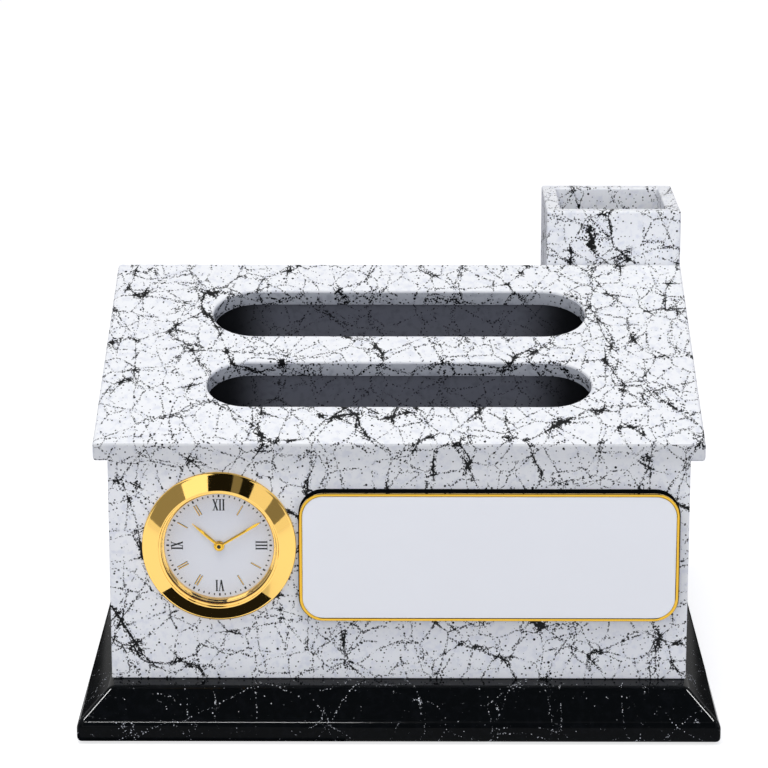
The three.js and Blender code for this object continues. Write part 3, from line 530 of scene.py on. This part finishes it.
# %% Carry a profile along a path


def rectangle(half_u, half_v):
    """A rectangle's corners, and at each the direction in which both its sides move out by one."""
    corners = np.array([[1, 1], [-1, 1], [-1, -1], [1, -1]], float)
    return corners * (half_u, half_v), corners


def rounded_rectangle(half_u, half_v, radius, steps=12):
    """Four quarter circles joined by straight sides; the outward direction is the circle's."""
    angle = np.linspace(0, np.pi / 2, steps + 1)[None, :] + np.arange(4)[:, None] * np.pi / 2
    outward = np.stack([np.cos(angle), np.sin(angle)], -1)
    centres = rectangle(half_u - radius, half_v - radius)[0]
    return (centres[:, None] + radius * outward).reshape(-1, 2), outward.reshape(-1, 2)


def circle(radius, steps=192):
    """Points at equal angles; the outward direction is the radius's."""
    angle = np.arange(steps) * 2 * np.pi / steps
    outward = np.stack([np.cos(angle), np.sin(angle)], -1)
    return radius * outward, outward


def skin(rows, columns, ring=False):
    """Four-cornered faces between rows of points, each row a loop. A ring joins the last row to the
    first, and otherwise both are closed by flat caps."""
    i, j = np.meshgrid(np.arange(rows if ring else rows - 1), np.arange(columns), indexing="ij")
    this_row, next_row, beside = i * columns, (i + 1) % rows * columns, (j + 1) % columns
    corners = [this_row + j, this_row + beside, next_row + beside, next_row + j]
    faces = np.stack(corners, -1).reshape(-1, 4).tolist()
    if not ring:
        faces += [list(range(columns)), list(range((rows - 1) * columns, rows * columns))]
    return faces


def carried(path, profile, ring=False):
    """Point (i, j) is path point j, moved inwards by profile i's inset, at profile i's level."""
    (line, outward), (inset, level) = path, np.array(profile, float).T
    rows, columns = len(inset), len(line)
    flat = line[None] - inset[:, None, None] * outward[None]
    height = np.broadcast_to(level[:, None, None], (rows, columns, 1))
    return np.concatenate([flat, height], -1).reshape(-1, 3), skin(rows, columns, ring)


def on_front(points, x=0.0, z=0.0):
    """Lays a piece on the front wall: u to the right, v up, level towards the viewer."""
    u, v, level = np.asarray(points).T
    return np.stack([x + u, front_y - level, z + v], -1)


def on_ground(points, x=0.0, y=0.0):
    """Lays a piece flat: u to the right, v to the back, level up."""
    u, v, level = np.asarray(points).T
    return np.stack([x + u, y + v, level], -1)


def prism(outline, low, high):
    """A flat outline raised between two levels, with no inset."""
    outline = np.array(outline, float)
    return carried((outline, np.zeros_like(outline)), [(0, low), (0, high)])


print("a circle path has", len(circle(1.0)[0]), "points")

# %% [markdown]
# ## Black base
# The base is one block with a chamfer all round, mitred at its corners. Its edges are eased by
# about a millimetre, and those thin rounded edges catch the light as bright lines, so they matter
# more than the flat faces. The chamfer's profile carried round a rectangle gives the block, and a
# Bevel modifier eases its edges.

# %% Make the base
chamfer_run, ridge = 8.1, 5.4
base_profile = [(0, base_low[2]), (0, ridge), (chamfer_run, base_high[2])]
points, faces = carried(rectangle(*base_high[:2]), base_profile)
base_block = piece("base_block", on_ground(points), faces, black_stone, ["base_plate"])
round_edges(base_block, 1.2, 4)
# The bezel mirrors a dark card on the floor in its place, which gives its dark sector clean ends
base_block.visible_glossy = False
print("base half sizes:", base_high[:2].round(1), "ridge at", ridge)

# %% Make the feet
for corner in ("front_left", "front_right", "rear_left", "rear_right"):
    node = "foot_" + corner
    low, high = span(node)
    centre, radius = (low + high) / 2, (high[0] - low[0]) / 2
    points, faces = carried(circle(radius, 48), [(0.3, 0), (0.1, 0.08), (0, 0.25), (0, high[2])])
    piece("pad_" + corner, on_ground(points, *centre[:2]), faces, rubber, [node])
print("foot radius:", round(radius, 2))

# %% [markdown]
# ## Roof and front wall
# Both are flat plates with holes: two card slots in the roof, the clock's bore in the wall. A face
# with holes can't be one polygon, so each is split down the middle of its holes into a left and a
# right polygon, which Blender can fill. The roof's front edge is cut upright, flush with the wall
# under it, and the two look like one stone there, so that edge stays sharp.

# %% Make a plate with holes


def slot_hole(half_straight, radius, v, u=0.0, steps=24):
    """A long hole with round ends, from its top middle round the left end to its bottom middle and
    back round the right end. With no straight part it is a circle."""
    angle = np.linspace(np.pi / 2, 1.5 * np.pi, steps)
    arc = radius * np.stack([np.cos(angle), np.sin(angle)], -1)
    return np.concatenate([[(u, v + radius)], arc + (u - half_straight, v),
                           [(u, v - radius)], (u + half_straight, v) - arc])


def pierced(near, far, holes, near_level, far_level):
    """near and far are the outer loop at the two levels, from the bottom middle round the left to
    the top middle and back round the right; holes are listed from the top. Each loop's first half
    bounds the left polygon, and its second half the right one."""
    counts = [len(near), *map(len, holes)]
    starts = np.cumsum([0, *counts])
    points = np.concatenate([np.c_[np.concatenate([outer, *holes]), np.full(starts[-1], level)]
                             for outer, level in ((near, near_level), (far, far_level))])
    rings = [np.r_[start : start + count, start] for start, count in zip(starts, counts)]
    left = np.concatenate([ring[: len(ring) // 2 + 1] for ring in rings])
    right = np.concatenate([ring[len(ring) // 2 :] for ring in rings[:1] + rings[:0:-1]])
    faces = [(side + level).tolist() for level in (0, starts[-1]) for side in (left, right)]
    for ring in rings:
        this, beside = ring[:-1], ring[1:]
        side = np.stack([this, beside, beside + starts[-1], this + starts[-1]], -1)
        faces += side.tolist()
    return points, faces


print("points round a hole:", len(slot_hole(1.0, 1.0, 0.0)))

# %% Make the roof plate
roof_half = roof_high[0]
wall_half = front_high[0]
roof_thick = roof_upright * math.cos(slope)
roof_length = roof_run / math.cos(slope)
shear = -roof_thick * math.tan(slope)


def roof_loop(shift):
    """The roof's outline on the slope, with a point where the wall under it ends and one more just
    inside, so that the rounding of the overhang fades out between the two."""
    inner, edge, side = wall_half - 0.8, wall_half, roof_half
    low, high = shift, roof_length + shift
    left = [[0, low], [-inner, low], [-edge, low], [-side, low], [-side, high]]
    right = [[0, high], [side, high], [side, low], [edge, low], [inner, low]]
    return np.array(left + right, float)


def up_the_slope(points):
    """u to the right, v up the slope from the roof's front top edge, level square to the slope."""
    u, v, level = np.asarray(points).T
    y = front_y + v * math.cos(slope) - level * math.sin(slope)
    z = roof_low[2] + roof_upright + v * math.sin(slope) + level * math.cos(slope)
    return np.stack([u, y, z], -1)


# Half the slots' length, and for each its half width and where it starts up the slope
slot_reach = 50.1
card_slots = {"rear_slot_edge": (11.85, 53), "front_slot_edge": (10.95, 17.9)}
holes = [slot_hole(slot_reach - half, half, start + half) for half, start in card_slots.values()]
points, faces = pierced(roof_loop(0.0), roof_loop(shear), holes, 0.0, -roof_thick)
roof = piece("sloping_roof", up_the_slope(points), faces, white_stone, ["roof_plate"])


def flush_edge(ends):
    """The roof's lower front edge over the wall, which stays sharp."""
    low = np.abs(ends[..., 2] - roof_low[2]) < 0.1
    return (low & (np.abs(ends[..., 0]) < wall_half + 0.1)).all(axis=1)


round_edges(roof, 0.8, 3, flush_edge)
# Thin strips of the darker stone over the slots' cut walls paint the shade that falls there
shade_strip_gap, shade_strip_end = 0.02, 0.1 - roof_thick
section = [(0, shade_strip_end), (0, -0.85), (0.05, -0.95), (0.05, shade_strip_end)]
for name, (half, start) in card_slots.items():
    path = rounded_rectangle(slot_reach - shade_strip_gap, half - shade_strip_gap, half - shade_strip_gap, 24)
    points, faces = carried(path, section, ring=True)
    piece(name, up_the_slope(points + (0, start + half, 0)), faces, slot_shade_stone)
print("roof length up the slope:", round(roof_length, 2), "thickness:", round(roof_thick, 2))

# %% Make the front wall
bore_radius, glue_line = 17.7, 0.05
wall_thick, wall_bottom = front_high[1] - front_low[1], front_low[2]


def under_roof(y):
    """Height of the roof's underside at a depth, less the glue line."""
    return roof_low[2] + (y - front_y) * math.tan(slope) - glue_line


def wall_loop(top):
    """The front wall's outline, split under and over the clock's bore."""
    return np.array([[clock_x, wall_bottom], [-wall_half, wall_bottom], [-wall_half, top],
                     [clock_x, top], [wall_half, top], [wall_half, wall_bottom]], float)


points, faces = pierced(wall_loop(roof_low[2]), wall_loop(under_roof(front_high[1])),
                        [slot_hole(0.0, bore_radius, clock_z, clock_x, 48)], 0.0, -wall_thick)
front = piece("front_panel", on_front(points), faces, white_stone, ["front_wall"])
round_edges(front, 0.35, 3, lambda ends: (ends[..., 2] > roof_low[2] - 0.1).all(axis=1))
print("front wall thickness:", round(wall_thick, 2))

# %% [markdown]
# ## The other plates
# Side walls, rear wall, pocket walls, phone trough and pen box are plain plates, some with a top
# cut to the roof's slope. Each is an outline raised by its width, with eased edges. The pen box is
# glued up so neatly that no joint shows, so its four walls are one piece: a wall's section carried
# round a rectangle.

# %% Make the upright walls


def across(points):
    """Lays an outline drawn in depth and height across the object."""
    depth, height, level = np.asarray(points).T
    return np.stack([level, depth, height], -1)


for node, name in (("left_wall", "left_panel"), ("right_wall", "right_panel"),
                   ("rear_wall", "rear_panel"), ("pocket_front_wall", "pocket_front_panel"),
                   ("pocket_partition", "pocket_middle_panel")):
    low, high = span(node)
    outline = [(low[1], low[2]), (high[1], low[2]), (high[1], under_roof(high[1])),
               (low[1], under_roof(low[1]))]
    points, faces = prism(outline, low[0], high[0])
    round_edges(piece(name, across(points), faces, white_stone, [node]), 0.4, 2)

for node, name in (("phone_ledge", "phone_shelf"), ("phone_back_rest", "phone_rest_panel"),
                   ("phone_end_stop", "phone_stop"), ("front_pocket_floor", "front_pocket_bottom"),
                   ("rear_pocket_floor", "rear_pocket_bottom"),
                   ("pen_box_floor", "pen_box_bottom")):
    low, high = span(node)
    half, middle = (high - low) / 2, (low + high) / 2
    points, faces = prism(rectangle(*half[:2])[0], low[2], high[2])
    round_edges(piece(name, on_ground(points, *middle[:2]), faces, white_stone, [node]), 0.5, 3)
print("last plate's half sizes:", half.round(1))

# %% Put a sheet of painted shade in each pocket
pocket_spans = [
    ("front_pocket_shade_sheet", "pocket_front_wall", "pocket_partition", "front_pocket_floor"),
    ("rear_pocket_shade_sheet", "pocket_partition", "rear_wall", "rear_pocket_floor")]
shade_sheet_gap, shade_sheet_thick = 0.1, 0.3
# Stands for the height of a sheet's rim until that is cut to the roof's slope
rim_mark = 999
for name, wall_before, wall_behind, pocket_floor in pocket_spans:
    front_end, back_end = span(wall_before)[1][1], span(wall_behind)[0][1]
    half = (span("right_wall")[0][0] - shade_sheet_gap, (back_end - front_end) / 2 - shade_sheet_gap)
    bottom = span(pocket_floor)[1][2] + shade_sheet_gap
    section = [(0, bottom), (0, rim_mark), (shade_sheet_thick, rim_mark),
               (shade_sheet_thick, bottom + shade_sheet_thick)]
    points, faces = carried(rectangle(*half), section)
    points = on_ground(points, 0.0, (front_end + back_end) / 2)
    rim = points[:, 2] == rim_mark
    points[rim, 2] = under_roof(points[rim, 1]) - shade_sheet_gap
    piece(name, points, faces, pocket_shade_stone)
    print(name, "width:", round(2 * half[0], 1), "depth:", round(2 * half[1], 1))

# %% Make the pen box
pen_nodes = ["pen_box_front", "pen_box_back", "pen_box_left", "pen_box_right"]
pen_low = np.min([span(node)[0] for node in pen_nodes], axis=0)
pen_high = np.max([span(node)[1] for node in pen_nodes], axis=0)
pen_half, pen_middle = (pen_high - pen_low) / 2, (pen_high + pen_low) / 2
pen_wall = 4.0
section = [(0, pen_low[2]), (0, pen_high[2]), (pen_wall, pen_high[2]), (pen_wall, pen_low[2])]
points, faces = carried(rectangle(*pen_half[:2]), section, ring=True)
round_edges(piece("pen_box_walls", on_ground(points, *pen_middle[:2]), faces, white_stone,
                  pen_nodes), 0.6, 3)
print("pen box height:", round(pen_high[2] - pen_low[2], 1))

# %% [markdown]
# ## Name plate
# A bare name plate: a black acrylic backing, a thin gold frame and a white gloss face with nothing
# on it. Round-cornered sheets cut by laser have a crisp edge with a hairline chamfer, so each is a
# short profile carried round a rounded rectangle.

# %% Make the name plate
plate_low, plate_high = span("name_plate_backing")
plate_half, plate_middle = (plate_high - plate_low) / 2, (plate_high + plate_low) / 2
plate_corner = 6.4
backing_section = [(0, 0.05), (0, 2.85), (0.12, 3.0)]
frame_section = [(0, 3.05), (0, 3.6), (0.12, 3.75), (0.63, 3.75), (0.75, 3.62), (0.75, 3.05)]
face_section = [(0, 3.05), (0, 3.6), (0.1, 3.7)]
for name, margin, section, material in (("plate_backing", 0, backing_section, black_acrylic),
                                        ("plate_frame", 0.25, frame_section, gold_foil),
                                        ("plate_face", 1.05, face_section, white_acrylic)):
    path = rounded_rectangle(*(plate_half[[0, 2]] - margin), plate_corner - margin)
    points, faces = carried(path, section, ring=section is frame_section)
    made = piece(name, on_front(points, *plate_middle[[0, 2]]), faces, material, ["name_" + name])
    # The polished bezel close by would show the plate's black side as a broad dark crescent
    made.visible_glossy = False
print("name plate's half sizes:", plate_half[[0, 2]].round(2))

# %% [markdown]
# ## Clock bezel, rings, glass and dial
# The bezel is turned from brass and plated: a wide polished cone that rises to a crest, then two
# small steps down to the glass. A cone mirrors one direction of the room along each of its radii,
# which is why a real one shows sharp dark and bright sectors. The sections are carried round a
# circle of 192 steps.

# %% Turn the bezel, the ring, the glass and the dial
works = "clock_insert_body"


def turned(name, section, material, stands_for=(), body=works, ring=True, steps=192):
    """A section of radius and level carried round the clock's middle, closed as a ring or by flat
    discs."""
    radius, level = np.array(section).T
    outer = radius.max()
    points, faces = carried(circle(outer, steps), np.c_[outer - radius, level], ring)
    return piece(name, on_front(points, clock_x, clock_z), faces, material, stands_for, body)


cone = [(19.7, 0.05), (19.7, 0.4), (19.66, 0.58), (19.56, 0.72), (19.4, 0.82), (19.2, 0.86),
        (19.1, 0.9), (15.8, 3.3), (15.65, 3.4),
        (15.38, 3.4), (15.3, 3.32), (15.3, 2.98), (15.22, 2.9), (14.83, 2.9), (14.75, 2.82),
        (14.75, 2.35), (15.65, 2.35), (15.65, 0.9), (17.25, 0.9), (17.25, 0.05)]
ring = [(14.0, -0.45), (15.6, -0.45), (15.6, 1.25), (14.75, 1.25), (14.62, 1.18), (14.5, 0.95),
        (14.4, 0.9), (14.08, 0.72), (14.0, 0.6)]
disc = [(15.6, -0.9), (15.6, -0.5), (0.95, -0.5), (0.95, -0.9)]
turned("bezel", cone, gold, ["clock_bezel"])
turned("inner_ring", ring, gold, ["chapter_ring"])
turned("glass", [(15.6, 1.3), (15.6, 2.2), (15.5, 2.3)], lens_glass, ["clock_lens"], ring=False)
turned("dial", disc, dial_card, ["clock_dial"])
print("bezel radius:", cone[0][0], "in the CAD:", (bezel_high[0] - bezel_low[0]) / 2)

# %% [markdown]
# ## Print on the dial
# The dial has Roman XII, III, VI and IX whose heads point outwards, gold batons between them, and
# a minute track. A font would give its own letter shapes, so each numeral is drawn as a few
# strokes: thick and thin bars with serifs. A stroke is a four-cornered bar, and all strokes of one
# ink become one thin plate set.

# %% Draw strokes as thin bars


def bars(starts, ends, widths):
    """Corners of each bar: its two ends, moved by half its width to either side of its line."""
    starts, ends = np.asarray(starts, float), np.asarray(ends, float)
    along = ends - starts
    along /= np.linalg.norm(along, axis=1, keepdims=True)
    side = np.stack([-along[:, 1], along[:, 0]], -1) * np.asarray(widths, float)[:, None] / 2
    return np.stack([starts + side, starts - side, ends - side, ends + side], 1)


def printed(name, quads, levels, material):
    """Every bar raised between two levels over the dial: eight corners and six faces each."""
    count = len(quads)
    height = np.broadcast_to(np.array(levels)[None, :, None, None], (count, 2, 4, 1))
    points = np.concatenate([np.repeat(quads[:, None], 2, 1), height], -1).reshape(-1, 3)
    cube = np.array([[0, 1, 2, 3], [7, 6, 5, 4], [0, 4, 5, 1], [1, 5, 6, 2], [2, 6, 7, 3],
                     [3, 7, 4, 0]])
    faces = (cube[None] + 8 * np.arange(count)[:, None, None]).reshape(-1, 4).tolist()
    return piece(name, on_front(points, clock_x, clock_z), faces, material, body=works)


def clockwise(flat, degrees, out=0.0):
    """Moves flat points up by a radius, then turns them clockwise about the dial's middle."""
    angle = -math.radians(degrees)
    turn = np.array([[math.cos(angle), math.sin(angle)], [-math.sin(angle), math.cos(angle)]])
    return (flat + (0, out)) @ turn


print("a bar has", bars([(0, 0)], [(0, 1)], [1]).shape[1], "corners")

# %% Draw the numerals as strokes
# Each numeral is a list of strokes: start, end and width, 3 mm high and centred
TALL = 1.5


def serif(middle, half, side):
    """A thin bar across a stroke's end, at the top (1) or at the foot (-1)."""
    level = side * (TALL - 0.06)
    return (middle - half, level), (middle + half, level), 0.14


def glyph_one(x):
    """The numeral I: a stem and two serifs."""
    return [((x, -TALL), (x, TALL), 0.4), serif(x, 0.34, 1), serif(x, 0.34, -1)]


def glyph_ten(x):
    """The numeral X: a thick and a thin diagonal and four serifs."""
    return [((x - 0.5, TALL), (x + 0.5, -TALL), 0.42), ((x + 0.48, TALL), (x - 0.48, -TALL), 0.2),
            *(serif(x + arm, 0.28, side) for side in (1, -1) for arm in (-0.5, 0.5))]


def glyph_five(x):
    """The numeral V: a thick and a thin stroke that meet at the foot, and two serifs."""
    return [((x - 0.48, TALL), (x + 0.04, -TALL), 0.42), ((x + 0.5, TALL), (x + 0.04, -TALL), 0.2),
            serif(x - 0.475, 0.325, 1), serif(x + 0.5, 0.25, 1)]


print("strokes in a ten:", len(glyph_ten(0.0)))

# %% Print the numerals and the minute track
numerals = [
    (0, glyph_ten(-0.85) + glyph_one(0.35) + glyph_one(1.2)),
    (90, glyph_one(-0.88) + glyph_one(0.0) + glyph_one(0.88)),
    (180, glyph_five(-0.4) + glyph_one(0.75)),
    (270, glyph_one(-0.8) + glyph_ten(0.3)),
]
numeral_radius, ink_levels = 10.8, (-0.49, -0.47)
numeral_quads = np.concatenate([clockwise(bars(*zip(*strokes)), degrees, numeral_radius)
                                for degrees, strokes in numerals])
printed("numerals", numeral_quads, ink_levels, dial_ink)

minute = np.arange(60)
bold = np.where(minute % 5 == 0, 1.0, 0.0)
track_in, track_out = 12.9 - 0.08 * bold, 13.42 + 0.1 * bold
direction = np.stack([np.sin(minute * np.pi / 30), np.cos(minute * np.pi / 30)], -1)
track = bars(direction * track_in[:, None], direction * track_out[:, None], 0.3 + 0.15 * bold)
printed("minute_track", track, ink_levels, dial_ink)
print("strokes:", len(numeral_quads), "ticks:", len(track))

# %% Make the gold batons and their painted shadows
single, double = (1, 2, 4, 5, 10), (7, 8, 11)
baton_in, baton_out = 9.25, 12.25
places = [(hour * 30, 0.0) for hour in single]
places += [(hour * 30, side) for hour in double for side in (-0.3, 0.3)]


def batons(shift, shorter, width):
    """A bar at every place, moved aside by the shift and shorter at both ends."""
    low, high = baton_in + shorter, baton_out - shorter
    return np.concatenate([
        clockwise(bars([(u + shift, low)], [(u + shift, high)], [width]), degrees)
        for degrees, u in places])


# A wider black strip under each gold bar, the bar set a little to one side, paints its shadow
printed("baton_painted_shadows", batons(0.0, 0.0, 0.36), (-0.49, -0.46), dial_ink)
printed("batons", batons(-0.05, 0.06, 0.14), (-0.455, -0.36), gold)
print("batons:", len(places))

# %% [markdown]
# ## Hands
# The hands are stamped and lacquered blades with a ridge down the middle, so one half is always
# lighter than the other: a pointed lance for the hours, an even bar with a blunt tip for the
# minutes. The blade is a surface of two parameters: along it the width follows a few given half
# widths, and across it the height falls from the ridge to both edges. Each ends in a round hub, and
# a dark pin shows in the minute hand's hub.

# %% Make the hands


def lance(length, half_widths, low, high, ridge=0.12):
    """Along t from 0 to 1 the half width runs straight between the given (t, half width) pairs.
    Across a from -1 to 1 the top is at high + ridge * (1 - |a|) * (1 - t^3), and the underside is
    flat."""
    t = np.linspace(0, 1, 25)[:, None]
    a = np.array([-1.0, 0.0, 1.0])[None]
    u = np.interp(t, *zip(*half_widths)) * a
    v = np.broadcast_to(t * length, u.shape)
    upper = np.stack([u, v, high + ridge * (1 - np.abs(a)) * (1 - t**3)], -1)
    lower = np.stack([u, v, np.full_like(u, low)], -1)
    around = np.concatenate([upper, lower[:, ::-1]], 1)
    return around.reshape(-1, 3), skin(*around.shape[:2])


def make_hand(name, length, half_widths, hub, hole, low, high, degrees):
    """A blade, turned to its hour or minute, and its hub ring, on the same body."""
    node, body = name + "_hand", name + "_hand_body"
    points, faces = lance(length, half_widths, low, high)
    points[:, :2] = clockwise(points[:, :2], degrees)
    piece(name + "_blade", on_front(points, clock_x, clock_z), faces, gilt, [node], body)
    eased, raised = 0.12, high + 0.14
    section = [(hub, low), (hub, high), (hub - eased, raised), (hole + eased, raised),
               (hole, high), (hole, low)]
    turned(name + "_hub", section, gilt, body=body, steps=64)


make_hand("hour", 9.1, [(0, 0.34), (0.62, 0.38), (1, 0.04)], 1.35, 0.9, 0.0, 0.2, -49)
make_hand("minute", 12.1, [(0, 0.3), (0.92, 0.32), (1, 0.12)], 1.0, 0.4, 0.55, 0.75, 58.6)
turned("pin_cap", [(0.39, 0.6), (0.39, 1.0), (0.31, 1.09), (0.19, 1.14)], dial_ink,
       body="minute_hand_body", ring=False, steps=32)

# %% [markdown]
# ## The clock's works
# Behind the dial the CAD solids have their right shapes, so they only get finishes: moulded plastic
# for the plates, brass for the wheels, steel for the battery and the stator.

# %% Give the works their finishes
for part in frame["record"]["subparts"]:
    mesh = frame["nodes"][part["node"]].data
    mesh.materials.clear()
    mesh.materials.append(finishes[part["material_slot"]])

# %% [markdown]
# ## Floor, room and lamps
# A plain pale floor and a white room. The camera, mirrors and glass see white behind the object,
# and the floor still takes its shadow. The gold cone needs something to mirror, so for glossy rays
# the upper front of the room has bright and dark panels, as a studio has, and the floor has a dark
# card under the clock. Beside and behind the object the floor is dark to them too, which keeps the
# black base black.

# %% Lay the floor
floor_mesh = bpy.data.meshes.new("floor")
floor_mesh.from_pydata([(-3, -3, 0), (3, -3, 0), (3, 3, 0), (-3, 3, 0)], [], [(0, 1, 2, 3)])
placed("floor", floor_mesh)


def inside(tree, place, bounds):
    """1 where each named axis of the place passes its test against its bound, 0 elsewhere: the
    product of the tests."""
    passed = 1.0
    for axis, test, bound in bounds:
        within = add(tree, "Math", (place[axis], bound), operation=test)
        passed = add(tree, "Math", (passed, within), **TIMES)
    return passed


floor_finish, tree = finish("pale_floor")
rays = add(tree, "LightPath").node.outputs
seen = darkest(tree, [rays["Is Camera Ray"], rays["Is Glossy Ray"], rays["Is Transmission Ray"]])
pale = add(tree, "BsdfDiffuse", {"Color": linear("#bcbcbe")})
lift = add(tree, "Emission", {"Strength": add(tree, "Math", (seen, 0.72), **TIMES)})
both = add(tree, "AddShader", (pale, lift))
spot = add(tree, "SeparateXYZ", (add(tree, "NewGeometry", out="Position"),)).node.outputs
card_front, card_left, card_right = -0.0815, -0.0895, -0.0136
beside = inside(tree, spot, [("Y", "GREATER_THAN", -0.02)])
behind = inside(tree, spot, [("Y", "GREATER_THAN", 0.09)])
on_card = inside(tree, spot, [("Y", "GREATER_THAN", card_front), ("X", "GREATER_THAN", card_left),
                              ("X", "LESS_THAN", card_right)])
dimmed = add(tree, "Math", (rays["Is Glossy Ray"], darkest(tree, [beside, on_card])), **TIMES)
dim_level = add(tree, "Math", (behind, 0.225, 0.015), **TIMES_PLUS)
laid = add(tree, "MixShader", (dimmed, both, add(tree, "Emission", {"Strength": dim_level})))
add(tree, "OutputMaterial", {"Surface": laid})
floor_mesh.materials.append(floor_finish)
print("floor nodes:", len(tree.nodes))

# %% Light the room
world = bpy.data.worlds.new("white_room")
bpy.context.scene.world = world
tree = emptied(world)
rays = add(tree, "LightPath").node.outputs
toward = add(tree, "SeparateXYZ", (add(tree, "TexCoord", out="Generated"),)).node.outputs
swing = add(tree, "Math", (toward["Z"], toward["X"]), operation="ARCTAN2")
half_turns = add(tree, "Math", (swing, math.pi), operation="DIVIDE")
panels = add(tree, "ValToRGB", (half_turns,))
ramp = panels.node.color_ramp
ramp.interpolation = "CONSTANT"
sectors = [(0, 1.0), (8, 0.25), (28, 1.0), (52.5, 0.01), (66.5, 0.22), (77, 0.01), (106, 1.4),
           (135, 0.3), (177, 1.0)]
while len(ramp.elements) < len(sectors):
    ramp.elements.new(0.5)
for element, (degrees, level) in zip(ramp.elements, sectors):
    element.position = degrees / 180
    element.color = (level, level, level, 1)
in_panels = inside(tree, toward, [("Y", "LESS_THAN", -0.25), ("Z", "LESS_THAN", 0.84),
                                  ("Z", "GREATER_THAN", 0.0)])
ceiling = add(tree, "MapRange", (toward["Z"], 0.92, 0.94, 1.0, 0.03), **EASED)
rear = add(tree, "MapRange", (toward["Y"], 0.0, 0.2, 1.0, 0.65), **EASED)
dim_room = add(tree, "Math", (ceiling, rear), **TIMES)
mirrored = add(tree, "Mix", {0: in_panels, 6: dim_room, 7: panels}, **MIXED)
room_light = (0.49, 0.502, 0.572, 1)
lighting = add(tree, "Mix", {0: rays["Is Glossy Ray"], 6: room_light, 7: mirrored}, **MIXED)
plain = darkest(tree, [rays["Is Camera Ray"], rays["Is Transmission Ray"]])
view = add(tree, "Mix", {0: plain, 6: lighting, 7: (1, 1, 1, 1)}, **MIXED)
add(tree, "OutputWorld", {"Surface": add(tree, "Background", {"Color": view})})
print("room sectors:", len(sectors))

# %% Hang the lamps


def soft_lamp(name, place, size, level, aim=(0.0, 0.0, 0.05), colour=(1.0, 1.0, 1.0)):
    """A square lamp whose power gives a white surface that faces it the wanted level:
    power = level * pi^2 * distance^2."""
    data = bpy.data.lights.new(name, "AREA")
    lamp = placed(name, data)
    offset = np.subtract(place, aim)
    data.size = size
    data.color = colour
    data.energy = level * math.pi**2 * float(offset @ offset)
    lamp.location = place
    lamp.rotation_euler = (math.atan2(math.hypot(offset[0], offset[1]), offset[2]), 0,
                           math.atan2(offset[0], -offset[1]))
    lamp.visible_glossy = False
    return lamp


soft_lamp("overhead_lamp", (-0.15, -0.38, 1.25), 0.7, 0.42, colour=(1.0, 0.985, 0.85))
soft_lamp("front_lamp", (0.1, -1.5, 0.35), 0.8, 0.21, colour=(0.95, 0.98, 1.0))

# Three small bright lamps draw the lines on the base's eased edges, and light nothing else
base_only = bpy.data.collections.new("lit_by_edge_lamps")
base_only.objects.link(base_block)
edge_lamps = [("ridge_lamp", (-0.13, -0.59, 0.68), (-0.05, -0.08, 0.01), (0.22, 0.07))]
edge_lamps += [(name, (0.43 * side, 0.04, 0.72), (0.078 * side, -0.072, 0.01), (0.12, 0.12))
               for name, side in (("left_mitre_lamp", -1), ("right_mitre_lamp", 1))]
# In watts per square metre and steradian
edge_radiance = 180
for name, place, aim, (wide, tall) in edge_lamps:
    lamp = soft_lamp(name, place, wide, 1.0, aim)
    lamp.data.shape = "RECTANGLE"
    lamp.data.size_y = tall
    lamp.data.energy = edge_radiance * math.pi * wide * tall
    lamp.visible_glossy = True
    lamp.visible_diffuse = False
    lamp.light_linking.receiver_collection = base_only
print("lamps:", len(bpy.data.lights))
